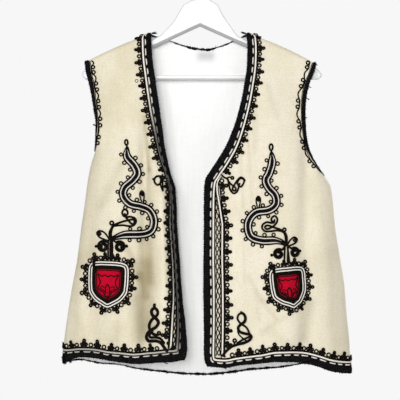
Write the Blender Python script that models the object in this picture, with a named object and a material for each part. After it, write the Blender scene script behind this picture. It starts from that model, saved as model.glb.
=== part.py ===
"""Folk vest of cream wool felt with black cord work, hung on a plain white hanger.

The frame is metres, +Z up, the front of the vest towards -Y and the wearer's
left front towards +X.  The origin is the inside top of the hanger's hook.
Every cloth piece is a wall on one smooth form: its place seen from the front
comes from edge tables, and its depth comes from a rounded body section that is
drawn in over the hanger's arms, with the main folds added.
"""
import bpy
import numpy as np
from mathutils import Vector
from mathutils.geometry import tessellate_polygon

MM = 0.001

# ---------------------------------------------------------------- dimensions
CLOTH_WALL = 2.0 * MM          # wool felt
LINING_WALL = 1.0 * MM         # white cotton
SEAM_GAP = 0.3 * MM            # clear space between two pieces
LAID_GAP = 0.45 * MM           # clear space under a cord laid on the cloth
RIDGE_ROUND = 11.0 * MM        # how fast the cloth turns over the hanger's arm
SECTION_POWER = 2.6            # 2 is an ellipse, more is squarer
EDGE_BINDING = 8.2 * MM        # plaited binding, from the raw edge inwards on the face
ARMHOLE_BINDING = 6.8 * MM
HEM_BINDING = 8.5 * MM
FRONT_LENGTH = 580.0 * MM      # mean length of a front, shoulder to hem
BINDING_HEIGHT = 2.0 * MM
BINDING_LIP = 1.8 * MM         # part that turns round the raw edge
BINDING_UNDER = 1.6 * MM       # thickness of the binding's inner leg
HEM_LEG = 2.0 * MM             # inner leg on the back's hem
NECK_LEG = 3.0 * MM            # inner leg at the nape
HEM_LIFT = 0.3 * MM            # clear space added where the hem curls, twice that at its end
LIP_REACH = SEAM_GAP + BINDING_LIP
UNDERARM_RIGHT = -321.0 * MM
UNDERARM_LEFT = -364.0 * MM
V_CORNER = -372.0 * MM         # where the neckline becomes the straight front edge
ROLL_WIDTH = 28.0 * MM         # strip of the right front edge that turns back
STRIPE = (11.2, 16.2)          # cream cord along a front edge: from and to, mm along the cloth
CHAIN = (17.5, 25.0)           # black plait beside it
HEM_STRIPE = (2.4, 5.6)        # the same cream cord along a hem: above the binding, width
CREAM_HEIGHT = 1.3 * MM
CHAIN_HEIGHT = 1.6 * MM
BRAID_HALF = 6.4 * MM          # serpentine braid: half width and height
BRAID_HEIGHT = 2.0 * MM
STEM_HALF = 2.4 * MM
CURL_HALF = 1.2 * MM           # spirals
CURL_HEIGHT = 1.8 * MM
BRAID_GAP = 0.95 * MM          # clear space under a wide braid on curved cloth
STRIPE_GAP = 0.85 * MM
CHAIN_GAP = 0.6 * MM
HEM_STRIPE_GAP = 1.05 * MM
HANGER_HALF = 4.5 * MM
HANGER_BEVEL = 2.2 * MM
ARM_BELOW_RIDGE = 4.2 * MM
HEM_START = 1.6 * MM           # a hem binding starts this far along the hem
BACK_TUCK = 3.0 * MM           # how far the back's armhole edge lies inside the front's
# columns of the back across the neck, as parts of its width
NECK_COLUMNS = np.array([0.035, 0.06, 0.095, 0.16, 0.3, 0.5, 0.7, 0.84, 0.905, 0.94, 0.965])

# shoulder line, from the neck to its tip: place across, height
LEFT_SHOULDER = [(79, -113), (202, -167)]
RIGHT_SHOULDER = [(-87, -113), (-204, -164)]
# how far the middle of each shoulder line stands over the straight one (left, right)
SHOULDER_RISE = [4.5, 2.5]
# front edge of each front, neck to hem: height, place across
LEFT_INNER = [(-113, 79), (-144, 81), (-171, 80), (-206, 75), (-241, 68), (-276, 58), (-307, 45.8),
              (-337, 29), (-357, 15.5), (-373, 7), (-397, 5), (-440, 5), (-543, 4), (-637, 5),
              (-668, 5), (-682, 7), (-689, 11)]
RIGHT_INNER = [(-113, -87), (-144, -86), (-206, -78), (-276, -68), (-307, -64), (-337, -58.5), (-363, -52),
               (-388, -44.7), (-414, -43), (-449, -42), (-501, -38), (-543, -35.2), (-583, -31.6),
               (-628, -26), (-659, -24), (-672, -25), (-680, -29)]
# armhole and side seam, shoulder to hem: height, place across
LEFT_OUTER = [(-167, 202), (-188, 195), (-206, 188), (-230, 183), (-257, 181.5), (-283, 183), (-310, 187),
              (-334, 196), (-355, 209), (-369, 220), (-385, 228), (-406, 231), (-449, 235), (-502, 243),
              (-556, 251.5), (-606, 255.5), (-650, 260), (-708, 263)]
RIGHT_OUTER = [(-164, -204), (-181, -202), (-202, -196), (-227, -191), (-251, -187), (-274, -184),
               (-297, -184), (-318, -185.5), (-344, -193), (-375, -199), (-406, -203), (-458, -210.5),
               (-510, -217), (-561, -226.5), (-615, -235), (-654, -240), (-692, -242)]
# hems: place across, height
LEFT_HEM = [(11, -689), (41, -691), (60, -687.5), (75, -685.7), (94, -684.5), (104, -684), (127, -681.5),
            (147, -681.5), (170, -684), (195, -690), (213, -696), (221, -699), (243, -704.5), (263, -708)]
RIGHT_HEM = [(-242, -692), (-224, -682), (-207, -677), (-182, -679), (-159, -682), (-135, -683.5),
             (-113, -685.5), (-66, -682.5), (-45, -681.5), (-29, -680)]
BACK_HEM = [(-242, -692), (-215, -690), (-179, -697), (-144, -702), (-117, -707), (-90, -709), (-55, -710),
            (-28, -712), (11, -715), (60, -713), (87, -709), (114, -707), (140, -704), (190, -698),
            (225, -701), (263, -708)]
# back neck between the shoulders, top of its binding: place across, height
BACK_NECK = [(-80, -115), (-58, -122), (-28, -132), (-2, -137), (9, -138), (34, -132.5), (58, -123),
             (73, -115.5)]
# height, depth of the fronts at the middle, depth of the back at the middle
DEPTH = [(-70, 13, 12), (-113, 14, 12.5), (-170, 18, 15), (-240, 27, 18), (-320, 36, 21), (-420, 42, 23),
         (-560, 45, 25), (-720, 47, 27)]
# height, how far the body's side lies outside the armhole edge (left, right)
ARM_SPREAD = [(-100, 48, 48), (-170, 44, 42), (-215, 38, 34), (-257, 26, 20), (-285, 17, 8),
              (-305, 10, 2.5), (-321, 6.5, 0), (-340, 3, 0), (-364, 0, 0), (-720, 0, 0)]
# height, how far the right front's edge is turned back
ROLL = [(-100, 0), (-190, 1), (-240, 5), (-290, 15), (-340, 27), (-390, 36), (-450, 40), (-520, 38),
        (-573, 31), (-600, 23), (-625, 17), (-660, 11), (-720, 7)]
# share of that turn left at a share of the rolled strip's width
ROLL_SHARE = [(0, 1), (0.1, 0.97), (0.2, 0.93), (0.27, 0.8), (0.35, 0.62), (0.42, 0.46), (0.475, 0.345),
              (0.6, 0.2), (0.75, 0.09), (0.88, 0.03), (1, 0)]
# folds: front (1 left, 2 right, 3 back), middle across at top and bottom, height of top and
# bottom, half width, depth (out is plus)
FOLDS = [(1, 187, 177, -230, -700, 15, -9), (1, 150, 147, -470, -735, 20, 5),
         (1, 62, 70, -380, -740, 26, 4), (1, 112, 118, -150, -330, 22, 3), (1, 215, 222, -420, -740, 15, 3),
         (2, -96, -93, -240, -690, 13, -10), (2, -63, -62, -260, -600, 9, 4),
         (2, -150, -160, -330, -700, 18, 4), (2, -186, -196, -380, -560, 10, -3),
         (2, -205, -215, -480, -730, 13, 4),
         (3, -120, -135, -260, -735, 30, 5), (3, -40, -48, -300, -735, 26, -4),
         (3, 45, 52, -250, -735, 30, 4), (3, 125, 140, -300, -735, 24, -5),
         (3, -175, -190, -330, -735, 16, -4), (3, 185, 200, -390, -735, 16, 4)]

# serpentine braid, from its tip to the join above the shield: across, height
LEFT_SERPENTINE = [(121, -322), (122, -341), (117, -359), (111, -372), (116, -385), (127, -398), (128, -413),
                   (116, -423), (94, -427), (82, -440), (80, -455), (86, -469), (104, -475), (126, -475),
                   (138, -478)]
RIGHT_SERPENTINE = [(-127, -313), (-127, -331), (-115, -346), (-110, -360), (-117, -372), (-131, -385),
                    (-133, -399), (-122, -412), (-104, -417), (-88, -424), (-80.2, -440), (-84, -457),
                    (-98, -464), (-126, -465), (-138, -467)]
# stem from the braid to the shield
LEFT_STEM = [(146.5, -487), (147, -500), (148, -515)]
RIGHT_STEM = [(-152.5, -475), (-153.5, -490), (-155, -504)]
# shield: middle, tilt in degrees, half width
LEFT_SHIELD = (149.5, -554.5, 6.0, 33.2)
RIGHT_SHIELD = (-159.0, -547.0, -2.0, 36.2)
# half outline of the shield, in units of its half width: across, up
SHIELD_SHAPE = [(0.0, 1.1), (0.45, 1.07), (0.82, 0.97), (0.99, 0.72), (1.0, 0.3), (0.97, -0.15),
                (0.84, -0.55), (0.6, -0.86), (0.3, -1.06), (0.0, -1.16)]
# cord spirals under the join: middle across, height, turn direction
LEFT_SPIRALS = [(132.5, -498, 1), (160, -495.5, -1)]
RIGHT_SPIRALS = [(-168, -485.5, 1), (-139, -485.5, -1)]
SPIRAL_RADIUS = 8.6
SPIRAL_EYE = 2.6
SPIRAL_TURNS = 1.45
# half ring of braid under the nape: middle across, height, radius
NAPE_RING = (3.0, -156.0, 15.0)
NAPE_HALF = 2.6 * MM
# rings of the shield's frame: scale, height over the cloth in mm
FRAME_RINGS = [(1.0, 0.0), (1.0, 1.0), (0.86, 1.5), (0.72, 1.0), (0.72, 0.0), (0.86, 0.0)]
FRAME_GAP = 1.3 * MM
FELT_RINGS = (0.69, 0.46, 0.23)
FELT_LIFTS = (0.95 * MM, 2.25 * MM)

COLOURS = {
    "cream_felt": (0.80, 0.76, 0.62, 1.0), "white_cotton": (0.86, 0.87, 0.86, 1.0),
    "black_braid": (0.012, 0.011, 0.010, 1.0), "cream_cord": (0.78, 0.73, 0.58, 1.0),
    "red_felt": (0.52, 0.008, 0.03, 1.0), "white_plastic": (0.88, 0.88, 0.88, 1.0),
}
ROUGHNESS = {"cream_felt": 0.95, "white_cotton": 0.9, "black_braid": 0.8, "cream_cord": 0.85,
             "red_felt": 0.95, "white_plastic": 0.35}


# ---------------------------------------------------------------- small tools
def clear_scene():
    for ob in list(bpy.data.objects):
        bpy.data.objects.remove(ob, do_unlink=True)
    for me in list(bpy.data.meshes):
        bpy.data.meshes.remove(me)


def material(name):
    mat = bpy.data.materials.get(name)
    if mat is None:
        mat = bpy.data.materials.new(name)
        mat.use_nodes = True
        bsdf = mat.node_tree.nodes["Principled BSDF"]
        bsdf.inputs["Base Color"].default_value = COLOURS[name]
        bsdf.inputs["Roughness"].default_value = ROUGHNESS[name]
        mat.diffuse_color = COLOURS[name]
    return mat


def add_object(name, verts, tris, mat_name):
    """Put a closed mesh in the scene, with its faces turned outwards."""
    v = np.asarray(verts, float)
    t = np.asarray(tris, int)
    a = v[t[:, 0]]
    b = v[t[:, 1]]
    c = v[t[:, 2]]
    if np.einsum("ij,ij->i", a, np.cross(b, c)).sum() < 0:
        t = t[:, ::-1]
    me = bpy.data.meshes.new(name)
    me.from_pydata(v.tolist(), [], t.tolist())
    me.materials.append(material(mat_name))
    me.validate()
    me.update()
    ob = bpy.data.objects.new(name, me)
    bpy.context.scene.collection.objects.link(ob)
    return ob


def smooth_table(xs, ys, x):
    """Monotone cubic through a short table, held flat past its ends."""
    xs = np.asarray(xs, float)
    ys = np.asarray(ys, float)
    order = np.argsort(xs)
    xs = xs[order]
    ys = ys[order]
    h = np.diff(xs)
    d = np.diff(ys) / h
    m = np.zeros(len(xs))
    m[0] = d[0]
    m[-1] = d[-1]
    same = d[:-1] * d[1:] > 0
    w1 = 2 * h[1:] + h[:-1]
    w2 = h[1:] + 2 * h[:-1]
    safe_a = np.where(same, d[:-1], 1.0)
    safe_b = np.where(same, d[1:], 1.0)
    m[1:-1] = np.where(same, (w1 + w2) / (w1 / safe_a + w2 / safe_b), 0.0)
    x = np.clip(x, xs[0], xs[-1])
    i = np.clip(np.searchsorted(xs, x) - 1, 0, len(h) - 1)
    t = (x - xs[i]) / h[i]
    return ((1 + 2 * t) * (1 - t) ** 2 * ys[i] + t * (1 - t) ** 2 * h[i] * m[i]
            + t * t * (3 - 2 * t) * ys[i + 1] + t * t * (t - 1) * h[i] * m[i + 1])


def column(table, i):
    """One named column of a table, in metres."""
    return np.array([row[i] for row in table], float) * MM


def by_height(table, z, i=1):
    """Column i of a table whose first column is a height, read at height z."""
    return smooth_table(column(table, 0), column(table, i), z)


def smooth_path(points, count):
    """Curve through a short list of points, evenly spaced (chord-length Catmull-Rom)."""
    p = np.asarray(points, float)
    p = np.vstack([2 * p[0] - p[1], p, 2 * p[-1] - p[-2]])
    out = []
    for i in range(1, len(p) - 2):
        t = np.linspace(0, 1, 24, endpoint=False)[:, None]
        out.append(0.5 * (2 * p[i] + (p[i + 1] - p[i - 1]) * t
                          + (2 * p[i - 1] - 5 * p[i] + 4 * p[i + 1] - p[i + 2]) * t ** 2
                          + (3 * p[i] - p[i - 1] - 3 * p[i + 1] + p[i + 2]) * t ** 3))
    out.append(p[-2][None])
    q = np.vstack(out)
    s = np.concatenate([[0], np.cumsum(np.linalg.norm(np.diff(q, axis=0), axis=1))])
    k = np.linspace(0, s[-1], count)
    return np.stack([np.interp(k, s, q[:, 0]), np.interp(k, s, q[:, 1])], axis=1)


# ---------------------------------------------------------------- the form
def ridge_height(x):
    """Height of the shoulder line: a low arch on each side, straight on above the neck."""
    lines = []
    for ends, rise in zip((LEFT_SHOULDER, RIGHT_SHOULDER), SHOULDER_RISE):
        (nx, nz), (tx, tz) = ends
        share = (x / MM - nx) / (tx - nx)
        arch = np.clip(share, 0, 1)
        lines.append((nz + share * (tz - nz) + 4 * rise * arch * (1 - arch)) * MM)
    return np.where(x > 0, lines[0], lines[1])


def folds_at(which, x, z):
    """Soft folds of one piece, each a rounded ridge or trough that fades in and out along its length."""
    total = np.zeros_like(x)
    for part, x0, x1, z0, z1, half, deep in FOLDS:
        if part != which:
            continue
        t = np.clip((z0 * MM - z) / ((z0 - z1) * MM), 0, 1)
        mid = (x0 + (x1 - x0) * t) * MM
        along = np.clip(t / 0.25, 0, 1)
        along = along * along * (3 - 2 * along)
        tail = np.clip((z - z1 * MM) / (40 * MM), 0, 1)
        width = half * MM * (0.8 + 0.5 * t)
        total = total + deep * MM * along * tail * np.exp(-((x - mid) / width) ** 2)
    return total


def depth(which, x, z):
    """How far a piece stands out from the shoulder plane at (x, z)."""
    left = by_height(LEFT_OUTER, z) + by_height(ARM_SPREAD, z, 1)
    right = by_height(RIGHT_OUTER, z) - by_height(ARM_SPREAD, z, 2)
    reach = np.where(x > 0, left, -right)
    a = np.clip(np.abs(x) / reach, 0, 1)
    section = (1 - a ** SECTION_POWER) ** (1 / SECTION_POWER)
    middle = by_height(DEPTH, z, 2 if which == 3 else 1)
    drop = np.clip(ridge_height(x) - z, 0, RIDGE_ROUND) / RIDGE_ROUND
    turn = np.sqrt(np.clip(1 - (1 - drop) ** 2, 0, 1))
    calm = np.clip(section * 1.6, 0, 1)
    d = middle * section + folds_at(which, x, z) * calm
    if which == 2:
        inset = by_height(RIGHT_INNER, z) - x
        left_over = smooth_table(*np.array(ROLL_SHARE, float).T, np.clip(inset / ROLL_WIDTH, 0, 1))
        d = d - by_height(ROLL, z) * left_over
    return np.maximum(d * turn, SEAM_GAP / 2)


def place(which, x, z):
    """Points of a piece at (x, z): the fronts stand out towards -Y and the back towards +Y."""
    d = depth(which, x, z)
    y = d if which == 3 else -d
    return np.stack([x, y, z], axis=-1)


# ---------------------------------------------------------------- walls
class Wall:
    """A grid of points on a piece: rows from shoulder to hem, columns across."""

    def __init__(self, points, which, seam_rows):
        self.p = points
        du = np.gradient(points, axis=1)
        dv = np.gradient(points, axis=0)
        n = np.cross(du, dv)
        n /= np.maximum(np.linalg.norm(n, axis=2, keepdims=True), 1e-12)
        if which == 3:
            if n[n.shape[0] // 2, n.shape[1] // 2, 1] < 0:
                n = -n
        elif n[n.shape[0] // 2, n.shape[1] // 2, 1] > 0:
            n = -n
        for rows, cols in seam_rows:
            part = n[rows, cols]
            part[..., 1] = 0
            n[rows, cols] = part / np.maximum(np.linalg.norm(part, axis=-1, keepdims=True), 1e-12)
        self.n = n
        r, c = points.shape[:2]
        i = np.arange(r * c).reshape(r, c)
        q = np.stack([i[:-1, :-1], i[1:, :-1], i[1:, 1:], i[:-1, 1:]], -1).reshape(-1, 4)
        self.tris = np.vstack([q[:, [0, 1, 2]], q[:, [0, 2, 3]]])

    def moved(self, by):
        return self.p + self.n * by

    def solid(self, name, top, thick, mat_name, rows=slice(None), cols=slice(None)):
        a = self.moved(top)[rows, cols]
        b = self.moved(top - thick)[rows, cols]
        make_slab(name, a, b, mat_name)

    def on(self, xz):
        """Point and normal on the flat faces of the wall, under each (x, z)."""
        xz = np.asarray(xz, float)
        flat = self.p.reshape(-1, 3)
        nrm = self.n.reshape(-1, 3)
        a = flat[self.tris[:, 0]][:, [0, 2]]
        e1 = flat[self.tris[:, 1]][:, [0, 2]] - a
        e2 = flat[self.tris[:, 2]][:, [0, 2]] - a
        det = e1[:, 0] * e2[:, 1] - e1[:, 1] * e2[:, 0]
        det = np.where(np.abs(det) < 1e-14, 1e-14, det)
        w = xz[:, None, :] - a[None]
        s = (w[..., 0] * e2[:, 1] - w[..., 1] * e2[:, 0]) / det
        t = (e1[:, 0] * w[..., 1] - e1[:, 1] * w[..., 0]) / det
        miss = np.maximum(0, -s) + np.maximum(0, -t) + np.maximum(0, s + t - 1)
        k = np.argmin(miss, axis=1)
        rows = np.arange(len(xz))
        s = s[rows, k][:, None]
        t = t[rows, k][:, None]
        tri = self.tris[k]
        p = flat[tri[:, 0]] * (1 - s - t) + flat[tri[:, 1]] * s + flat[tri[:, 2]] * t
        n = nrm[tri[:, 0]] * (1 - s - t) + nrm[tri[:, 1]] * s + nrm[tri[:, 2]] * t
        return p, n / np.linalg.norm(n, axis=1, keepdims=True)


def make_slab(name, a, b, mat_name):
    """A closed wall between two grids of points."""
    r, c = a.shape[:2]
    i = np.arange(r * c).reshape(r, c)
    j = i + r * c
    q = np.stack([i[:-1, :-1], i[1:, :-1], i[1:, 1:], i[:-1, 1:]], -1).reshape(-1, 4)
    top = np.vstack([q[:, [0, 1, 2]], q[:, [0, 2, 3]]])
    low = (top + r * c)[:, ::-1]
    ring = np.concatenate([i[0, :-1], i[:-1, -1], i[-1, :0:-1], i[:0:-1, 0]])
    nxt = np.roll(ring, -1)
    side = np.vstack([np.stack([ring, nxt, nxt + r * c], 1), np.stack([ring, nxt + r * c, ring + r * c], 1)])
    verts = np.vstack([a.reshape(-1, 3), b.reshape(-1, 3)])
    return add_object(name, verts, np.vstack([top, low, side]), mat_name)


def make_sweep(name, sections, mat_name, closed=False, flip=False):
    """Join a run of equal section loops into one closed body."""
    s = np.asarray(sections, float)
    n, k = s.shape[:2]
    i = np.arange(n * k).reshape(n, k)
    nxt = np.roll(i, -1, axis=1)
    a = i if closed else i[:-1]
    b = np.roll(i, -1, axis=0) if closed else i[1:]
    an = nxt if closed else nxt[:-1]
    bn = np.roll(nxt, -1, axis=0) if closed else nxt[1:]
    if flip:
        tris = [np.stack([a, b, an], -1).reshape(-1, 3), np.stack([b, bn, an], -1).reshape(-1, 3)]
    else:
        tris = [np.stack([a, b, bn], -1).reshape(-1, 3), np.stack([a, bn, an], -1).reshape(-1, 3)]
    if not closed:
        for row, turn in ((0, 1), (n - 1, -1)):
            flat = flatten_loop(s[row])
            cap = np.array([list(f) for f in tessellate_polygon([[Vector(p) for p in flat]])])
            tri = i[row][cap]
            tris.append(fix_cap(tri, i[row], turn))
    return add_object(name, s.reshape(-1, 3), np.vstack(tris), mat_name)


def flatten_loop(loop):
    """The loop drawn in its own plane."""
    c = loop.mean(axis=0)
    w = loop - c
    vecs = np.linalg.svd(w)[2]
    return [(float(p @ vecs[0]), float(p @ vecs[1]), 0.0) for p in w]


def fix_cap(tri, order, turn):
    """Turn the cap's triangles so that its rim runs against the side's."""
    place_of = {int(v): n for n, v in enumerate(order)}
    k = len(order)
    out = []
    vote = 0
    for t in tri:
        idx = [place_of[int(v)] for v in t]
        for m in range(3):
            step = (idx[(m + 1) % 3] - idx[m]) % k
            if step == 1:
                vote += 1
            elif step == k - 1:
                vote -= 1
        out.append(list(t))
    out = np.array(out)
    if vote * turn < 0:
        out = out[:, ::-1]
    return out


# ---------------------------------------------------------------- cloth grids
def front_rows(count):
    """Row places: close over the ridge, even below, one at the top of the hem binding."""
    top = np.array([0.0, 0.0012, 0.0048, 0.0105, 0.0185])
    body = np.linspace(0.05, 1 - HEM_BINDING / FRONT_LENGTH, count)
    return np.concatenate([top, body, [1.0]])


def armhole_part(z, tip, underarm):
    """1 along the armhole, falling to 0 at the underarm."""
    return np.clip((z - underarm) / (0.3 * (tip - underarm)), 0, 1)


def front_wall(which, inner_table, outer_table, hem_table, rows, cols):
    """Grid of one front: columns spaced by length along the cloth from front edge to side."""
    away = 1 if which == 1 else -1
    zi = column(inner_table, 0)
    zo = column(outer_table, 0)
    zi[0] = ridge_height(column(inner_table, 1)[0] + away * LIP_REACH)
    zo[0] = ridge_height(column(outer_table, 1)[0] - away * LIP_REACH)
    v = front_rows(rows)
    zin = zi[0] + (zi[-1] - zi[0]) * v
    zout = zo[0] + (zo[-1] - zo[0]) * v
    seam_z = UNDERARM_LEFT if which == 1 else UNDERARM_RIGHT
    xin = by_height(inner_table, zin) + away * LIP_REACH
    xout = by_height(outer_table, zout) - away * LIP_REACH * armhole_part(zout, zo[0], seam_z)
    t = np.linspace(0, 1, 400)
    u = 1 - (1 - t) ** 2.6
    hx = column(hem_table, 0)
    hz = column(hem_table, 1)
    base_x = xin[-1] + (xout[-1] - xin[-1]) * u
    sag = LIP_REACH + smooth_table(hx, hz, base_x) - (zin[-1] + (zout[-1] - zin[-1]) * u)
    x = xin[:, None] * (1 - u) + xout[:, None] * u
    arch = ridge_height(x[0]) - (zin[0] + (zout[0] - zin[0]) * u)
    z = zin[:, None] * (1 - u) + zout[:, None] * u + v[:, None] * sag[None] + (1 - v[:, None]) * arch[None]
    fine = place(which, x, z)
    arc = np.concatenate([np.zeros((len(v), 1)),
                          np.cumsum(np.linalg.norm(np.diff(fine, axis=1), axis=2), axis=1)], axis=1)
    out = np.zeros((len(v), cols + 1, 3))
    arcs = np.zeros((len(v), cols + 1))
    for r in range(len(v)):
        total = arc[r, -1]
        inside = np.linspace(EDGE_BINDING, total - ARMHOLE_BINDING, cols - 1)
        want = np.concatenate([[0], inside, [total]])
        k = np.interp(want, arc[r], u)
        rx = xin[r] * (1 - k) + xout[r] * k
        bx = xin[-1] + (xout[-1] - xin[-1]) * k
        rz = zin[r] * (1 - k) + zout[r] * k
        rz = rz + v[r] * (LIP_REACH + smooth_table(hx, hz, bx) - (zin[-1] + (zout[-1] - zin[-1]) * k))
        rz = rz + (1 - v[r]) * np.interp(k, u, arch)
        out[r] = place(which, rx, rz)
        arcs[r] = want
    seam = int(np.argmin(np.abs(out[:, -1, 2] - seam_z)))
    out[0, :, 1] = -SEAM_GAP / 2
    out[seam:, -1, 1] = -SEAM_GAP / 2
    wall = Wall(out, which, [(0, slice(None)), (slice(seam, None), -1)])
    wall.arcs = arcs
    wall.seam = seam
    return wall


def back_wall(rows, cols):
    """Grid of the back: columns from the right side to the left, closer at the ends of the neck."""
    v = front_rows(rows)
    zl = column(RIGHT_OUTER, 0)
    zr = column(LEFT_OUTER, 0)
    zl[0] = ridge_height(column(RIGHT_OUTER, 1)[0] + LIP_REACH)
    zr[0] = ridge_height(column(LEFT_OUTER, 1)[0] - LIP_REACH)
    left_z = zl[0] + (zl[-1] - zl[0]) * v
    right_z = zr[0] + (zr[-1] - zr[0]) * v
    tuck_l = BACK_TUCK * np.sin(np.pi * np.clip((zl[0] - left_z) / (zl[0] - UNDERARM_RIGHT), 0, 1))
    tuck_r = BACK_TUCK * np.sin(np.pi * np.clip((zr[0] - right_z) / (zr[0] - UNDERARM_LEFT), 0, 1))
    lip_l = LIP_REACH * armhole_part(left_z, zl[0], UNDERARM_RIGHT)
    left_x = by_height(RIGHT_OUTER, left_z) + tuck_l + lip_l
    lip_r = LIP_REACH * armhole_part(right_z, zr[0], UNDERARM_LEFT)
    right_x = by_height(LEFT_OUTER, right_z) - tuck_r - lip_r
    t = np.linspace(0, 1, 801)
    u = 0.5 + 0.5 * np.sign(t - 0.5) * (1 - (1 - np.abs(2 * t - 1)) ** 2.2)
    neck_l = RIGHT_SHOULDER[0][0] * MM - LIP_REACH
    neck_r = LEFT_SHOULDER[0][0] * MM + LIP_REACH
    nx = np.concatenate([[neck_l], column(BACK_NECK, 0), [neck_r]])
    nz = np.concatenate([[ridge_height(neck_l)], column(BACK_NECK, 1) - LIP_REACH, [ridge_height(neck_r)]])
    hx = column(BACK_HEM, 0)
    hz = column(BACK_HEM, 1)

    def spot(r, k):
        top_x = left_x[0] + (right_x[0] - left_x[0]) * k
        low_x = hx[0] + (hx[-1] - hx[0]) * k
        between = (top_x > neck_l) & (top_x < neck_r)
        top_z = np.where(between, smooth_table(nx, nz, top_x), ridge_height(top_x))
        top = top_z - (left_z[0] + (right_z[0] - left_z[0]) * k)
        low = LIP_REACH + smooth_table(hx, hz, low_x) - (hz[0] + (hz[-1] - hz[0]) * k)
        x = left_x[r] * (1 - k) + right_x[r] * k
        z = left_z[r] * (1 - k) + right_z[r] * k + (1 - v[r]) * top + v[r] * low
        return x, z

    side = (cols - len(NECK_COLUMNS) - 1) // 2
    neck_a = (neck_l - left_x[0]) / (right_x[0] - left_x[0])
    neck_b = (neck_r - left_x[0]) / (right_x[0] - left_x[0])
    out = np.zeros((len(v), cols + 1, 3))
    for r in range(len(v)):
        x, z = spot(r, u)
        fine = place(3, x, z)
        arc = np.concatenate([[0], np.cumsum(np.linalg.norm(np.diff(fine, axis=0), axis=1))])
        sa = np.interp(neck_a, u, arc)
        sb = np.interp(neck_b, u, arc)
        want = np.concatenate([[0], np.linspace(ARMHOLE_BINDING, sa, side), sa + (sb - sa) * NECK_COLUMNS,
                               np.linspace(sb, arc[-1] - ARMHOLE_BINDING, side), [arc[-1]]])
        k = np.interp(want, arc, u)
        x, z = spot(r, k)
        out[r] = place(3, x, z)
    seam_l = int(np.argmin(np.abs(out[:, 0, 2] - UNDERARM_RIGHT)))
    seam_r = int(np.argmin(np.abs(out[:, -1, 2] - UNDERARM_LEFT)))
    out[0, :side + 1, 1] = SEAM_GAP / 2
    out[0, -side - 1:, 1] = SEAM_GAP / 2
    out[seam_l:, 0, 1] = SEAM_GAP / 2
    out[seam_r:, -1, 1] = SEAM_GAP / 2
    wall = Wall(out, 3, [(0, slice(0, side + 1)), (0, slice(-side - 1, None)), (slice(seam_l, None), 0),
                         (slice(seam_r, None), -1)])
    wall.seam_l = seam_l
    wall.seam_r = seam_r
    wall.side = side
    return wall


# ---------------------------------------------------------------- bindings
def binding_loop(points, normals, out, wall, leg, squeeze, lift, under):
    """One section of a binding, from the raw edge inwards: over the face, round the edge, in behind."""
    edge = points[0]
    n_edge = normals[0]
    a = SEAM_GAP + lift
    h = SEAM_GAP + BINDING_HEIGHT
    b = -(wall + SEAM_GAP + lift * 0.5)
    lip = (SEAM_GAP + BINDING_LIP) * squeeze
    near = SEAM_GAP * squeeze + lift * 0.95
    lip = lip + lift * 0.95
    last = len(points) - 1
    pts = [points[i] + normals[i] * a for i in range(1, last + 1)]
    pts += [points[i] + normals[i] * h for i in range(last, 0, -1)]
    pts += [edge + n_edge * h + out * lip * 0.45, edge + n_edge * (h * 0.55) + out * lip]
    if leg is not None:
        pts += [edge + n_edge * (b - under * 0.6) + out * lip,
                edge + n_edge * (b - under) + out * near * 0.5,
                edge + n_edge * (b - under) - out * leg, edge + n_edge * b - out * leg]
    else:
        pts += [edge + n_edge * (b + 0.1 * MM) + out * lip,
                edge + n_edge * (b - 0.4 * MM) + out * (lip + near) / 2]
    pts += [edge + n_edge * b + out * near, edge + n_edge * a + out * near]
    return np.array(pts)


def make_binding(name, points, normals, wall, legs=None, squeeze=None, flip=False, lift=None, under=None):
    """points and normals: one row per section, from the edge inwards."""
    count = len(points)
    if lift is None:
        lift = np.zeros(count)
    if under is None:
        under = np.full(count, BINDING_UNDER)
    if squeeze is None:
        squeeze = np.ones(count)
    if legs is None:
        legs = [None] * count
    edge = points[:, 0]
    out = np.cross(normals[:, 0], np.gradient(edge, axis=0))
    if np.einsum("ij,ij->", out, edge - points[:, 1]) < 0:
        out = -out
    out /= np.linalg.norm(out, axis=1, keepdims=True)
    loops = [binding_loop(points[i], normals[i], out[i], wall, legs[i], squeeze[i], lift[i], under[i])
             for i in range(count)]
    make_sweep(name, loops, "black_braid", flip=flip)


def front_edge_binding(name, w):
    p = w.p[:, :2]
    n = w.n[:, :2]
    down = p[-1, 0] - p[-2, 0]
    down = down / np.linalg.norm(down) * 2.0 * MM
    p = np.concatenate([p, p[-1:] + down])
    n = np.concatenate([n, n[-1:]])
    make_binding(name, p, n, CLOTH_WALL)


def hem_binding(name, w, first, last, wall, leg, start_gap):
    p = np.stack([w.p[-1, first:last], w.p[-2, first:last]], axis=1)
    n = np.stack([w.n[-1, first:last], w.n[-2, first:last]], axis=1)
    if start_gap:
        step = p[1] - p[0]
        p[0] = p[0] + step / np.linalg.norm(step, axis=1, keepdims=True) * HEM_START
    legs = None if leg is None else [leg] * len(p)
    lift = np.full(len(p), HEM_LIFT)
    lift[-2:] = 2 * HEM_LIFT
    make_binding(name, p, n, wall, legs, flip=True, lift=lift)


def armhole_binding(name, w, col, inner_col, last_row, wall):
    """From the shoulder ridge to just short of the underarm, where front and back meet."""
    p = np.stack([w.p[:last_row + 1, col], w.p[:last_row + 1, inner_col]], axis=1)
    n = np.stack([w.n[:last_row + 1, col], w.n[:last_row + 1, inner_col]], axis=1)
    p[0, :, 1] *= 2
    p[-1] = p[-2] * 0.35 + p[-1] * 0.65
    n[-1] = n[-2] * 0.35 + n[-1] * 0.65
    n[-1] /= np.linalg.norm(n[-1], axis=1, keepdims=True)
    lift = np.zeros(len(p))
    lift[-4:] = [0.6 * MM, 1.6 * MM, 1.8 * MM, 1.4 * MM]
    squeeze = np.ones(len(p))
    squeeze[-1] = 0.5
    make_binding(name, p, n, wall, None, squeeze, inner_col < 0, lift)


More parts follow.
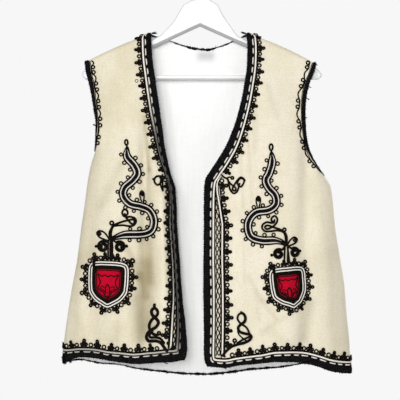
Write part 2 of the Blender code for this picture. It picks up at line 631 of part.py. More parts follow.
def neck_binding(w, wall):
    """Round the back neck, from shoulder ridge to shoulder ridge."""
    a = w.side
    b = w.p.shape[1] - 1 - w.side
    p = np.swapaxes(w.p[:5, a + 1:b], 0, 1)
    n = np.swapaxes(w.n[:5, a + 1:b], 0, 1)
    ends = np.sin(np.linspace(0.0, np.pi, len(p))) ** 0.6
    lift = np.array([1.8, 1.6, 1.2] + [0.6] * (len(p) - 6) + [1.2, 1.6, 1.8]) * MM
    make_binding("neck_binding", p, n, wall, NECK_LEG * ends + 0.1 * MM, lift=lift,
                 under=0.25 * BINDING_UNDER + 0.75 * BINDING_UNDER * ends)


# ---------------------------------------------------------------- laid cords
def at_arc(w, row_from, row_to, s, step):
    """Point and normal at length s from the front edge, on the flat faces between rows."""
    pts = []
    nrm = []
    for f in np.arange(row_from, row_to - 1 + 1e-6, step):
        r = min(int(f + 1e-9), w.p.shape[0] - 2)
        a = f - r
        line = w.arcs[r] * (1 - a) + w.arcs[r + 1] * a
        g = np.interp(s, line, np.arange(len(line)))
        j = min(int(g), len(line) - 2)
        b = g - j
        for grid, rows in ((w.p, pts), (w.n, nrm)):
            if a >= b:
                q = grid[r, j] * (1 - a) + grid[r + 1, j] * (a - b) + grid[r + 1, j + 1] * b
            else:
                q = grid[r, j] * (1 - b) + grid[r, j + 1] * (b - a) + grid[r + 1, j + 1] * a
            rows.append(q)
    nrm = np.array(nrm)
    return np.array(pts), nrm / np.linalg.norm(nrm, axis=1, keepdims=True)


def laid_along_edge(name, w, row_from, row_to, reach, height, mat_name, gap, step):
    """A low cord beside a front edge, between two lengths along the cloth."""
    s0, s1 = reach
    pa, na = at_arc(w, row_from, row_to, s0 * MM, step)
    pm, nm = at_arc(w, row_from, row_to, (s0 + s1) / 2 * MM, step)
    pb, nb = at_arc(w, row_from, row_to, s1 * MM, step)
    h = gap + height
    side = gap + height * 0.6
    loops = [[pa[i] + na[i] * gap, pa[i] + na[i] * side, pm[i] + nm[i] * h,
              pb[i] + nb[i] * side, pb[i] + nb[i] * gap, pm[i] + nm[i] * gap] for i in range(len(pa))]
    make_sweep(name, loops, mat_name)


def laid_along_hem(name, w, first, last):
    """The cream cord along a hem, over the last row but one of the cloth."""
    lift, width = HEM_STRIPE
    height = CREAM_HEIGHT
    g = HEM_STRIPE_GAP
    loops = []
    for c in range(first, last):
        a = w.p[-2, c]
        b = w.p[-3, c]
        up = (b - a) / np.linalg.norm(b - a)
        n = w.n[-2, c]
        p0 = a + up * lift * MM
        p1 = a + up * (lift + width) * MM
        loops.append([p0 + n * g, p0 + n * (g + height * 0.6), (p0 + p1) / 2 + n * (g + height),
                      p1 + n * (g + height * 0.6), p1 + n * g])
    make_sweep(name, loops, "cream_cord")


def laid_path(name, w, path, half, height, mat_name, gap=LAID_GAP):
    """A flat-bottomed cord or braid laid along a path on the cloth."""
    p = np.asarray(path, float)
    tan = np.gradient(p, axis=0)
    tan /= np.linalg.norm(tan, axis=1, keepdims=True)
    side = np.stack([-tan[:, 1], tan[:, 0]], axis=1)
    pa, na = w.on(p + side * half)
    pm, nm = w.on(p)
    pb, nb = w.on(p - side * half)
    side = gap + height * 0.55
    loops = []
    for i in range(len(p)):
        loops.append([pa[i] + na[i] * gap, pa[i] + na[i] * side, pm[i] + nm[i] * (gap + height),
                      pb[i] + nb[i] * side, pb[i] + nb[i] * gap, pm[i] + nm[i] * gap])
    make_sweep(name, loops, mat_name)


def spiral_path(cx, cz, turn, count):
    """From the top of the outer turn inwards to the eye."""
    a = np.linspace(0, 1, count)
    r = SPIRAL_RADIUS + (SPIRAL_EYE - SPIRAL_RADIUS) * a
    ang = np.pi / 2 + turn * a * SPIRAL_TURNS * 2 * np.pi
    return np.stack([cx + r * np.cos(ang), cz + r * np.sin(ang)], axis=1)


def shield_outline(scale, count, cx, cz, tilt, half_width):
    half = np.array(SHIELD_SHAPE, float)
    loop = np.vstack([half, half[-2:0:-1] * [-1, 1]])
    loop = np.vstack([loop, loop[:1]])
    s = np.concatenate([[0], np.cumsum(np.linalg.norm(np.diff(loop, axis=0), axis=1))])
    k = np.linspace(0, s[-1], count, endpoint=False)
    x = np.interp(k, s, loop[:, 0]) * half_width * scale
    z = np.interp(k, s, loop[:, 1]) * half_width * scale
    c = np.cos(np.radians(tilt))
    d = np.sin(np.radians(tilt))
    return np.stack([cx + x * c - z * d, cz + x * d + z * c], axis=1) * MM


def shield_frame(name, w, shield, count=32):
    loops = []
    for scale, lift in FRAME_RINGS:
        p, n = w.on(shield_outline(scale, count, *shield))
        loops.append(p + n * (FRAME_GAP + lift * MM))
    make_sweep(name, np.stack(loops, axis=1), "black_braid", closed=True)


def shield_felt(name, w, shield, count=24):
    cx, cz = shield[:2]
    rings = []
    for scale in FELT_RINGS:
        p, n = w.on(shield_outline(scale, count, *shield))
        rings.append((p, n))
    pc, nc = w.on(np.array([[cx, cz]]) * MM)
    verts = []
    for lift in FELT_LIFTS:
        for p, n in rings:
            verts.append(p + n * lift)
        verts.append(pc + nc * lift)
    k = count
    layer = 3 * k + 1
    i = np.arange(k)
    j = (i + 1) % k
    tris = []
    for base in (0, layer):
        part = []
        for ring in (0, 1):
            a = base + ring * k
            b = a + k
            part.append(np.stack([a + i, a + j, b + j], 1))
            part.append(np.stack([a + i, b + j, b + i], 1))
        part.append(np.stack([base + 2 * k + i, base + 2 * k + j, np.full(k, base + 3 * k)], 1))
        part = np.vstack(part)
        tris.append(part if base else part[:, ::-1])
    tris.append(np.stack([i, j, layer + j], 1))
    tris.append(np.stack([i, layer + j, layer + i], 1))
    add_object(name, np.vstack(verts), np.vstack(tris), "red_felt")


# ---------------------------------------------------------------- hanger
def arc_points(cx, cz, r, a0, a1, count):
    a = np.radians(np.linspace(a0, a1, count))
    return [(cx + r * np.cos(t), cz + r * np.sin(t)) for t in a]


def hanger_outline():
    """Outside and inside edge of the moulded hanger: across, height, bevel."""
    ext = []
    hook_out = 26.5
    hook_in = 20.0
    # outside of the hook, from its tip over the top and down to the neck
    ext += [(x, z, 1.8) for x, z in arc_points(0, -hook_in, hook_out, 205, -38, 19)]
    ext += [(12.5, -44, 1.8), (12, -50, 1.8), (18, -56, 2), (29.5, -63, 2), (37, -78, 2), (46, -92, 2),
            (54, -103.5, 2), (64, -117, 2), (78, -124.5, 2.2), (92, -128, 2.4)]
    for x in (106, 196):
        ext.append((x, float(ridge_height(np.array(x * MM))) / MM - ARM_BELOW_RIDGE / MM, 2.6))
    ext += [(207, -178.5, 2.4), (211.7, -184, 2.4), (212, -189.5, 2.2), (207, -194, 2.2), (-203, -194, 2.2),
            (-208, -189.5, 2.2),
            (-208, -184, 2.4), (-204.5, -176.5, 2.4)]
    for x in (-194, -114):
        ext.append((x, float(ridge_height(np.array(x * MM))) / MM - ARM_BELOW_RIDGE / MM, 2.6))
    ext += [(-100, -128.5, 2.4), (-86, -124.5, 2.2), (-71, -117, 2), (-58, -103.5, 2), (-48, -92, 2),
            (-40, -78, 2), (-31, -63, 2), (-18, -56, 2), (-6, -51.5, 2), (1, -48.5, 1.8)]
    # inside of the hook, back to the tip
    ext += [(x, z, 1.8) for x, z in arc_points(0, -hook_in, hook_in, -52, 205, 15)]
    inner = [(-1.8, -100.5, 4.5), (184, -183.0, 4.0), (188, -187, 2), (-184, -187, 2), (-180, -183.0, 4.0)]
    return ext, inner


def signed_area(p):
    x = p[:, 0]
    z = p[:, 1]
    return 0.5 * float(np.sum(x * np.roll(z, -1) - z * np.roll(x, -1)))


def inset_loop(p, amount):
    """Move a loop sideways by its own amount at each corner."""
    d1 = p - np.roll(p, 1, axis=0)
    d2 = np.roll(p, -1, axis=0) - p
    d1 /= np.linalg.norm(d1, axis=1, keepdims=True)
    d2 /= np.linalg.norm(d2, axis=1, keepdims=True)
    n1 = np.stack([-d1[:, 1], d1[:, 0]], 1)
    n2 = np.stack([-d2[:, 1], d2[:, 0]], 1)
    m = n1 + n2
    m /= np.maximum((m * n1).sum(axis=1, keepdims=True), 0.35)
    return p + m * amount[:, None]


def make_hanger():
    ext, inner = hanger_outline()
    loops = []
    for table, ccw in ((ext, True), (inner, False)):
        t = np.array(table, float) * MM
        if (signed_area(t[:, :2]) > 0) != ccw:
            t = t[::-1]
        loops.append(t)
    layers = []
    flat = HANGER_HALF - HANGER_BEVEL
    for y, k in ((-HANGER_HALF, 1.0), (-flat, 0.0), (flat, 0.0), (HANGER_HALF, 1.0)):
        for t in loops:
            p = inset_loop(t[:, :2], t[:, 2] * k)
            layers.append(np.column_stack([p[:, 0], np.full(len(p), y), p[:, 1]]))
    sizes = [len(t) for t in loops]
    per = sum(sizes)
    verts = np.vstack(layers)
    tris = []
    for lay in range(3):
        off = lay * per
        start = 0
        for n in sizes:
            i = np.arange(n) + off + start
            j = np.roll(i, -1)
            tris.append(np.stack([i, j, j + per], 1))
            tris.append(np.stack([i, j + per, i + per], 1))
            start += n
    polys = []
    start = 0
    for n in sizes:
        flat_loop = verts[start:start + n]
        polys.append([Vector((float(q[0]), float(q[2]), 0.0)) for q in flat_loop])
        start += n
    cap = np.array([list(f) for f in tessellate_polygon(polys)])
    a = verts[cap[:, 0]][:, [0, 2]]
    b = verts[cap[:, 1]][:, [0, 2]]
    c = verts[cap[:, 2]][:, [0, 2]]
    area = (b - a)[:, 0] * (c - a)[:, 1] - (b - a)[:, 1] * (c - a)[:, 0]
    cap = np.where((area > 0)[:, None], cap, cap[:, ::-1])
    tris.append(cap[:, ::-1])
    tris.append(cap + 3 * per)
    add_object("hanger", verts, np.vstack(tris), "white_plastic")


# ---------------------------------------------------------------- the vest
def build_front(side, which, w, path, stem, spirals, shield, corner_row):
    w.solid("front_" + side, 0.0, CLOTH_WALL, "cream_felt")
    front_edge_binding("edge_binding_" + side, w)
    last = w.p.shape[1]
    hem_binding("hem_binding_" + side, w, 1, last, CLOTH_WALL, None, True)
    armhole_binding("armhole_binding_front_" + side, w, -1, -2, w.seam, CLOTH_WALL)
    rows = w.p.shape[0]
    step = 0.5 if which == 2 else 1.0
    laid_along_edge("edge_cord_" + side, w, 3, rows - 2, STRIPE, CREAM_HEIGHT, "cream_cord", STRIPE_GAP,
                    step)
    laid_along_edge("edge_chain_" + side, w, corner_row, rows - 2, CHAIN, CHAIN_HEIGHT, "black_braid",
                    CHAIN_GAP, 1.0)
    laid_along_hem("hem_cord_" + side, w, 3, last - 1)
    braid = smooth_path(path, 42) * MM
    laid_path("serpentine_" + side, w, braid, BRAID_HALF, BRAID_HEIGHT, "black_braid", BRAID_GAP)
    stem_path = smooth_path(stem, 8) * MM
    laid_path("stem_" + side, w, stem_path, STEM_HALF, BRAID_HEIGHT, "black_braid", BRAID_GAP)
    for n, (cx, cz, turn) in enumerate(spirals):
        curl = spiral_path(cx, cz, turn, 26) * MM
        laid_path("spiral_%s_%d" % (side, n + 1), w, curl, CURL_HALF, CURL_HEIGHT, "black_braid")
    shield_frame("shield_frame_" + side, w, shield)
    shield_felt("shield_felt_" + side, w, shield)


def build_back(w):
    w.solid("back", 0.0, CLOTH_WALL, "cream_felt")
    wall = CLOTH_WALL + SEAM_GAP + LINING_WALL
    make_slab("back_lining", w.moved(-CLOTH_WALL - SEAM_GAP), w.moved(-wall), "white_cotton")
    hem_binding("hem_binding_back", w, 0, w.p.shape[1], wall, HEM_LEG, False)
    neck_binding(w, wall)
    armhole_binding("armhole_binding_back_right", w, 0, 1, w.seam_l, wall)
    armhole_binding("armhole_binding_back_left", w, -1, -2, w.seam_r, wall)
    ang = np.linspace(np.pi, 2 * np.pi, 15)
    cx, cz, r = NAPE_RING
    arc = np.stack([cx + r * np.cos(ang), cz + r * np.sin(ang)], axis=1) * MM
    laid_path("nape_motif", w, arc, NAPE_HALF, CURL_HEIGHT, "black_braid")


def main():
    clear_scene()
    left = front_wall(1, LEFT_INNER, LEFT_OUTER, LEFT_HEM, 24, 14)
    right = front_wall(2, RIGHT_INNER, RIGHT_OUTER, RIGHT_HEM, 24, 14)
    back = back_wall(23, 22)
    row_left = int(np.argmin(np.abs(left.p[:, 0, 2] - V_CORNER + 15 * MM)))
    row_right = int(np.argmin(np.abs(right.p[:, 0, 2] - V_CORNER + 15 * MM)))
    build_front("left", 1, left, LEFT_SERPENTINE, LEFT_STEM, LEFT_SPIRALS, LEFT_SHIELD, row_left)
    build_front("right", 2, right, RIGHT_SERPENTINE, RIGHT_STEM, RIGHT_SPIRALS, RIGHT_SHIELD, row_right)
    build_back(back)
    make_hanger()


main()
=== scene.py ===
"""Looks of the folk vest: cloth shells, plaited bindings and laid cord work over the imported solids.

Lengths are millimetres in the tables and formulas and become metres when a mesh is made.
A place on the vest is (across, height) as seen from the front; the body form gives its depth.
"""

import bpy
import numpy as np
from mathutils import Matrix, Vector


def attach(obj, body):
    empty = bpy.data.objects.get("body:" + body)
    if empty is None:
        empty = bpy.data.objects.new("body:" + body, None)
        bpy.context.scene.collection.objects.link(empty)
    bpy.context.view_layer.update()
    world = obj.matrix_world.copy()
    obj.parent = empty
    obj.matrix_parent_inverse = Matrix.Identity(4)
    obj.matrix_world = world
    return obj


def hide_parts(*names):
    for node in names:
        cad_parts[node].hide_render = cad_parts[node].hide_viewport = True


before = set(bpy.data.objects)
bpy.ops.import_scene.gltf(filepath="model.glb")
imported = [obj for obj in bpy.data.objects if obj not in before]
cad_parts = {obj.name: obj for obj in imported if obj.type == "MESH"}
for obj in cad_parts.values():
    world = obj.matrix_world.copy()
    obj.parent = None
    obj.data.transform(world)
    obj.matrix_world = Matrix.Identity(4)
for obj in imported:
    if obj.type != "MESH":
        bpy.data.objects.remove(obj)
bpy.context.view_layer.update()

MM = 0.001
TAU = 2 * np.pi


def mirrored(half, closed=True):
    """A line with the places of its first half repeated backwards on the other side of the middle;
    a closed line starts on the middle, so its first place isn't repeated."""
    return half + [(-x, y) for x, y in (half[-2:0:-1] if closed else half[-2::-1])]


LEFT, RIGHT, BACK, LINING = 1, 2, 3, 4
SIDES = ((LEFT, "left"), (RIGHT, "right"))
# the way from the middle of the vest to the side of each front
AWAY = {LEFT: 1, RIGHT: -1}

# ------------------------------------------------------------------ sizes, as in the solids
CLOTH_WALL = 2.0
LINING_WALL = 1.0
SEAM_GAP = 0.3
LIP_REACH = 2.1
RIDGE_ROUND = 11.0
SECTION_POWER = 2.6
ROLL_WIDTH = 28.0
BACK_TUCK = 3.0
# the back's cloth, gap and lining together
BACK_WALL = CLOTH_WALL + SEAM_GAP + LINING_WALL
UNDERARM = {LEFT: -364.0, RIGHT: -321.0}
# shoulder line, from the neck to its tip: place across, height
SHOULDER = {LEFT: [(79, -113), (202, -167)], RIGHT: [(-87, -113), (-204, -164)]}
# how far the middle of each shoulder line stands over the straight one
SHOULDER_RISE = {LEFT: 4.5, RIGHT: 2.5}
# front edge of each front, neck to hem: height, place across
INNER = {
    LEFT: [(-113, 79), (-144, 81), (-171, 80), (-206, 75), (-241, 68), (-276, 58), (-307, 45.8),
           (-337, 29), (-357, 15.5), (-373, 7), (-397, 5), (-440, 5), (-543, 4), (-637, 5), (-668, 5),
           (-682, 7), (-689, 11)],
    RIGHT: [(-113, -87), (-144, -86), (-206, -78), (-276, -68), (-307, -64), (-337, -58.5), (-363, -52),
            (-388, -44.7), (-414, -43), (-449, -42), (-501, -38), (-543, -35.2), (-583, -31.6),
            (-628, -26), (-659, -24), (-672, -25), (-680, -29)]}
# armhole and side seam, shoulder to hem: height, place across
OUTER = {
    LEFT: [(-167, 202), (-188, 195), (-206, 188), (-230, 183), (-257, 181.5), (-283, 183), (-310, 187),
           (-334, 196), (-355, 209), (-369, 220), (-385, 228), (-406, 231), (-449, 235), (-502, 243),
           (-556, 251.5), (-606, 255.5), (-650, 260), (-708, 263)],
    RIGHT: [(-164, -204), (-181, -202), (-202, -196), (-227, -191), (-251, -187), (-274, -184),
            (-297, -184), (-318, -185.5), (-344, -193), (-375, -199), (-406, -203), (-458, -210.5),
            (-510, -217), (-561, -226.5), (-615, -235), (-654, -240), (-692, -242)]}
# hems: place across, height
HEM = {
    LEFT: [(11, -689), (41, -691), (60, -687.5), (75, -685.7), (94, -684.5), (104, -684), (127, -681.5),
           (147, -681.5), (170, -684), (195, -690), (213, -696), (221, -699), (243, -704.5), (263, -708)],
    RIGHT: [(-242, -691), (-224, -681), (-207, -675.5), (-182, -676.5), (-159, -680), (-135, -683),
            (-113, -685.5), (-66, -682.5), (-45, -681.5), (-29, -680)],
    BACK: [(-242, -692), (-215, -690), (-179, -697), (-144, -702), (-117, -708), (-90, -711), (-55, -714),
           (-28, -717), (11, -718.5), (60, -714.5), (87, -710), (114, -707), (140, -704), (190, -698),
           (225, -701), (263, -708)]}
# back neck between the shoulders: place across, height
BACK_NECK = [(-80, -115), (-58, -122), (-28, -132), (-2, -137), (9, -138), (34, -132.5), (58, -123),
             (73, -115.5)]
# height, depth of the fronts and of the back at the middle
DEPTH = [(-70, 13, 12), (-113, 14, 12.5), (-170, 18, 15), (-240, 27, 18), (-320, 36, 21), (-420, 42, 23),
         (-560, 45, 25), (-720, 47, 27)]
# height, how far the body's side lies outside the armhole edge (left, right)
ARM_SPREAD = [(-100, 48, 48), (-170, 44, 42), (-215, 38, 34), (-257, 26, 20), (-285, 17, 8),
              (-305, 10, 2.5), (-321, 6.5, 0), (-340, 3, 0), (-364, 0, 0), (-720, 0, 0)]
# height, how far the right front's edge is turned back
ROLL = [(-100, 0), (-190, 1), (-240, 5), (-290, 15), (-340, 27), (-390, 36), (-450, 40), (-520, 38),
        (-573, 31), (-600, 23), (-625, 17), (-660, 11), (-720, 7)]
# share of that turn left at a share of the rolled strip's width
ROLL_SHARE = [(0, 1), (0.1, 0.97), (0.2, 0.93), (0.27, 0.8), (0.35, 0.62), (0.42, 0.46), (0.475, 0.345),
              (0.6, 0.2), (0.75, 0.09), (0.88, 0.03), (1, 0)]
# folds: piece, middle across at top and bottom, height of top and bottom, half width, depth
FOLDS = [(LEFT, 187, 177, -230, -700, 15, -8), (LEFT, 150, 147, -470, -735, 20, 5),
         (LEFT, 62, 70, -380, -740, 26, 4), (LEFT, 112, 118, -150, -330, 22, 3),
         (LEFT, 215, 222, -420, -740, 15, 3),
         (RIGHT, -97, -93, -225, -690, 11, -11), (RIGHT, -63, -62, -260, -600, 9, 4),
         (RIGHT, -150, -160, -330, -700, 18, 4), (RIGHT, -186, -196, -380, -560, 10, -3),
         (RIGHT, -205, -215, -480, -730, 13, 4),
         (BACK, -120, -135, -260, -735, 30, 5), (BACK, -40, -48, -300, -735, 26, -4),
         (BACK, 45, 52, -250, -735, 30, 4), (BACK, 125, 140, -300, -735, 24, -5),
         (BACK, -175, -190, -330, -735, 16, -4), (BACK, 185, 200, -390, -735, 16, 4)]
# finer creases: piece, from (across, height) to (across, height), half width, depth, bow sideways
CREASES = [
    (LEFT, 67, -450, 71, -548, 5, -0.9, 2), (LEFT, 92, -600, 128, -640, 7, 1.1, 3),
    (LEFT, 84, -226, 88, -352, 9, -0.8, -4), (LEFT, 138, -160, 144, -236, 10, -0.9, 3),
    (LEFT, 160, -200, 150, -300, 9, 0.7, -3), (LEFT, 196, -392, 205, -520, 8, -1.2, 4),
    (LEFT, 120, -570, 104, -660, 6, -0.8, -5), (LEFT, 165, -590, 171, -672, 7, 1.0, 2),
    (LEFT, 36, -470, 40, -600, 6, 0.5, 1),
    (RIGHT, -142, -346, -138, -412, 7, -1.0, 2), (RIGHT, -165, -250, -170, -420, 7, -0.8, -3),
    (RIGHT, -120, -170, -112, -250, 9, -0.7, 3), (RIGHT, -178, -560, -176, -664, 7, 0.9, -2),
    (RIGHT, -128, -590, -140, -660, 6, -0.9, 4), (RIGHT, -106, -420, -112, -560, 6, 0.8, -2),
    (BACK, -10, -190, -16, -330, 14, -1.3, 4), (BACK, -90, -150, -70, -260, 12, 1.2, -5),
    (BACK, 82, -160, 66, -280, 12, 1.1, 4), (BACK, 20, -420, 30, -620, 10, 0.9, -3),
    (BACK, -150, -430, -158, -650, 9, -1.1, 4), (BACK, 100, -500, 92, -690, 8, 1.0, -4),
    (BACK, -88, -560, -96, -690, 7, -0.9, 3), (BACK, 160, -280, 172, -390, 9, -1.0, 3),
    (BACK, -170, -230, -160, -330, 9, 1.0, -3), (BACK, 60, -600, 74, -700, 7, -0.8, 2)]

# how far on both sides of a point the cloth's slope is taken
SLOPE_STEP = 0.25
# rows below the shoulder ridge and columns of the cloth's grids
FRONT_GRID = (150, 108)
BACK_GRID = (140, 128)
# plaited bands: height of the crown, height and length of a stitch; height and length of a stitch
# in the braids that are laid on the cloth
BAND_TOP, BAND_RELIEF, BAND_PITCH = 1.7, 1.1, 4.2
PLAIT_RELIEF, PLAIT_PITCH = 0.55, 3.4
# how far the bands reach in over the face
FRONT_BAND, HEM_BAND, ARM_BAND, NECK_BAND = 8.0, 8.2, 5.6, 7.0
# loose fibres of the bands: longest length, half thickness
FIBRE_LONG, FIBRE_THICK = 2.2, 0.32
# how far over the cloth's face the foot of a laid cord lies, where no other lift is given
LAID = 0.35
# corners of a small ring, and the radius for which its threads are counted
RING_SIDES, RING_RADIUS = 12, 2.5

# strokes that darken the cloth's colour, and a base for each piece: partly real dirt, partly painted shade
# in the folds, along the creases and on sides turned from the light; the right front's larger base is
# painted shade for the dimmer light on that side, a stroke of negative strength is a painted highlight
# along a ridge, and on the lining the strokes grey it where the nape's motif shows through.
# Columns: piece, from (across, height) to (across, height), half width, strength
STAIN_AND_SHADE_BASE = {LEFT: 0.03, RIGHT: 0.14}
STAINS_AND_SHADE = [
    (RIGHT, -139, -348, -173, -416, 9, 0.22), (RIGHT, -98, -262, -90, -354, 3.6, 0.5),
    (RIGHT, -89, -354, -95, -412, 5, 0.3), (RIGHT, -94, -470, -87, -545, 11, 0.46),
    (RIGHT, -125, -491, -106, -536, 6, 0.34), (RIGHT, -106, -536, -94, -572, 7, 0.36),
    (RIGHT, -111, -573, -103, -640, 13, 0.5), (RIGHT, -97, -515, -91, -622, 13, 0.5),
    (RIGHT, -166, -594, -169, -638, 22, 0.16), (RIGHT, -190, -330, -200, -500, 22, 0.26),
    (RIGHT, -211, -510, -216, -650, 15, 0.14), (RIGHT, -182, -196, -168, -250, 14, 0.12),
    (RIGHT, -70, -310, -63, -372, 7, -0.2), (RIGHT, -67, -406, -60, -600, 7, -0.16),
    (RIGHT, -120, -190, -128, -280, 10, -0.08), (RIGHT, -86, -425, -84, -460, 6, 0.2),
    (RIGHT, -140, -620, -150, -655, 9, 0.12), (LEFT, 173, -396, 169, -480, 11, 0.1),
    (LEFT, 203, -371, 221, -491, 19, 0.16), (LEFT, 184, -582, 176, -642, 11, 0.48),
    (LEFT, 216, -520, 243, -645, 32, 0.24), (LEFT, 92, -235, 93, -320, 6, 0.2),
    (LEFT, 80, -286, 87, -408, 2.6, 0.2), (LEFT, 67, -320, 72, -418, 2.4, 0.2),
    (LEFT, 71, -448, 74, -548, 2.6, 0.16), (LEFT, 80, -536, 104, -577, 4, 0.2),
    (LEFT, 104, -577, 128, -608, 4, 0.22), (LEFT, 104, -630, 143, -606, 5, 0.18),
    (LEFT, 114, -207, 131, -262, 6, 0.16), (LEFT, 94, -560, 98, -610, 5, 0.12),
    (LEFT, 120, -628, 150, -655, 9, 0.14), (LEFT, 150, -190, 164, -280, 12, 0.1),
    (BACK, 60, -300, 40, -500, 34, 0.12), (BACK, -120, -560, -150, -690, 22, 0.2),
    (BACK, 150, -420, 170, -640, 24, 0.16), (BACK, -40, -180, -30, -330, 20, 0.1),
    (LINING, 1, -149, 16, -149, 9, 0.5), (LINING, 1, -153, 16, -153, 8, 0.3)]
# frayed ends: piece, place, number of threads, length, way in degrees from across, fan in degrees
TUFTS = [(BACK, 37, -714, 60, 6, -60, 90), (RIGHT, -236, -680, 110, 6.5, 190, 70),
         (RIGHT, -236, -686, 110, 6, -120, 70), (RIGHT, -226, -683, 60, 5, -100, 60),
         (RIGHT, -183, -276, 26, 5, 170, 60), (LEFT, 187, -209, 18, 4, 10, 50),
         (LEFT, 184, -230, 18, 4, 0, 50), (LEFT, 181, -262, 12, 3, 0, 50),
         (RIGHT, -84, -115.5, 90, 7.5, 12, 13), (LEFT, 77, -115.5, 90, 7.5, 168, 13),
         (LEFT, 200, -170, 16, 4, 60, 50), (BACK, -60, -713, 20, 5, -80, 80),
         (BACK, -110, -706, 16, 4, -90, 80), (BACK, 96, -707, 18, 4, -90, 80),
         (BACK, 5, -138.5, 24, 3, 80, 80), (BACK, 28, -136, 20, 3, 100, 70),
         (RIGHT, -60, -682, 24, 4, -90, 70), (LEFT, 40, -690, 24, 4, -90, 70),
         (LEFT, 258, -704, 26, 5, -30, 60), (RIGHT, -30, -676, 18, 3.5, -30, 60)]
# painted shade on the pale cords of the right front where its edge rolls under, away from the light:
# height, how grey; the second table does the same for the second stripe
ROLLED_PAINTED_SHADE = [(-215, 0), (-262, 0.5), (-300, 0.9), (-520, 0.9), (-600, 0.95), (-645, 0.9), (-668, 0.4),
               (-680, 0)]
SECOND_PAINTED_SHADE = [(-372, 0.9), (-470, 0.6), (-560, 0.35), (-610, 0.2), (-640, 0)]

# how far the front border strays inwards from its even course: height, shift
LEAN = {LEFT: [(-90, -1.2), (-250, -0.6), (-320, 1.6), (-372, 1.4), (-430, 0.6), (-490, 0.8),
               (-560, 2.2), (-620, 1.4), (-668, 0.4)],
        RIGHT: [(-90, -1.0), (-230, 0.6), (-372, 1.2), (-520, 0.8), (-575, 1.6), (-615, 3), (-645, 4),
                (-672, 5)]}
# the same for the hem border: place across, shift
SWELL = {LEFT: [(8, -2.6), (60, -2.4), (100, -1.2), (135, 1.3), (170, 2.2), (203, 3.6), (240, 4.3),
                (262, 4.6)],
         RIGHT: [(-242, 9.3), (-228, 2.6), (-207, -0.9), (-180, -0.2), (-120, 1.2), (-80, 2.2), (-53, 4),
                 (-30, 4.2)],
         BACK: [(-242, 2.2), (-160, 0.6), (-60, -0.6), (40, 0.4), (150, -0.5), (263, 0.8)]}
# centre lines inwards from the cloth's edge: down the fronts, and along the hems
DASH_LINE, STRIPE_LINE = 8.5, 13.3
HEM_DASH, HEM_STRIPE, HEM_BASE = 8.0, 12.7, 15.9
CHAIN_TOP = -362.0
# row of stitches: width, length of a stitch, length of the knot between
STITCH = {LEFT: (2.1, 11.6, 5.0), RIGHT: (2.1, 11.6, 5.6), BACK: (2.4, 10.6, 5.6)}
# places well inside the cloth, to tell inwards from outwards: how far across on a front, height for
# front edges and hems, height for armholes and the neck
INSIDE_ACROSS, INSIDE_LOW, INSIDE_HIGH = 130, -450, -300
# the second stripe and the base line swing inwards below the neck corner: height, inwards
SECOND_COURSE = {LEFT: [(-362, 16.6), (-385, 18.5), (-413, 23.5), (-447, 28.8)],
                 RIGHT: [(-362, 16.6), (-385, 18.5), (-413, 22.5), (-447, 27), (-560, 26), (-615, 24.6),
                         (-668, 24.4)]}
BASE_COURSE = {LEFT: [(-356, 16.6), (-380, 23.0), (-413, 27.6), (-447, 32.5)],
               RIGHT: [(-356, 16.6), (-380, 23.0), (-413, 26.8), (-447, 30.8), (-560, 29.8),
                       (-615, 28.4), (-668, 28.2)]}
# armholes: first ring and distance between ring pairs; share of the length against the shift of the
# binding's inner edge, and of the rings
ARM_RINGS = {LEFT: (10.0, 34.4), RIGHT: (20.0, 30.5)}
ARM_WIDTH = {LEFT: [(0, -1), (0.3, 0), (0.5, -0.8), (0.7, -1.6), (0.85, -2.6), (1, -4)],
             RIGHT: [(0, 3.2), (0.12, 2.4), (0.3, 0.6), (0.5, -1.2), (0.8, -3), (1, -4)]}
ARM_COURSE = {LEFT: [(0, 2.4), (0.18, -1.2), (0.4, 0.4), (0.6, -1.7), (0.8, -4.3), (1, -7.7)],
              RIGHT: [(0, 1.6), (0.25, -0.8), (0.5, -3.2), (0.75, -4.9), (1, -8)]}
# inwards from the armhole's edge: thin line, looser cord, how far that swings, rings
ARM_LINE, ARM_CORD, ARM_SWING, ARM_RING = 6.6, 9.3, 4.6, 12.4
# length taken by a pair of rings, and the distance between the two
ARM_PAIR, ARM_RING_GAP = 11.5, 10.4
# length of border taken by one trefoil
MOTIF = 22.1
# half ring under the nape: middle across, height, radius, degrees of turn
NAPE = (3.0, -156.0, 15.0, 180)
SOUTACHE_WIDE = 2.5
# sprays, tendrils and lone rings are this much bolder than their drawn cords
BOLD = 1.7
# one trefoil of the border, from foot to foot: along, inwards
TREFOIL = mirrored([(-5.2, 0), (-3, 0.6), (-1.4, 2.3), (0.3, 4.4), (-1.2, 5.5), (-3.5, 5.6), (-4.5, 4),
                    (-3.4, 2.6), (-1.6, 3.2), (-0.6, 4.8), (-0.9, 7), (-1.6, 9.4), (0, 11.1)], False)
TREFOIL_TALL = 11
# shares of the period at which a trefoil and the ring before it stand
TREFOIL_AT, RING_AT = 0.72, 0.24
SERPENTINE = {
    LEFT: [(121, -322), (122, -341), (117, -359), (111, -372), (116, -385), (127, -398), (128, -413),
           (116, -423), (94, -427), (82, -440), (80, -455), (86, -469), (104, -475), (126, -475),
           (138, -478)],
    RIGHT: [(-127, -313), (-127, -331), (-115, -346), (-110, -360), (-117, -372), (-131, -385),
            (-133, -399), (-122, -412), (-104, -417), (-88, -424), (-80.2, -440), (-84, -457), (-98, -464),
            (-126, -465), (-138, -467)]}
# sideways from the winding braid: cream cord, black cord, rings; distance between the rings
SERPENT_CREAM, SERPENT_BLACK, SERPENT_RINGS, SERPENT_PITCH = 4.0, 6.2, 9.7, 15.8
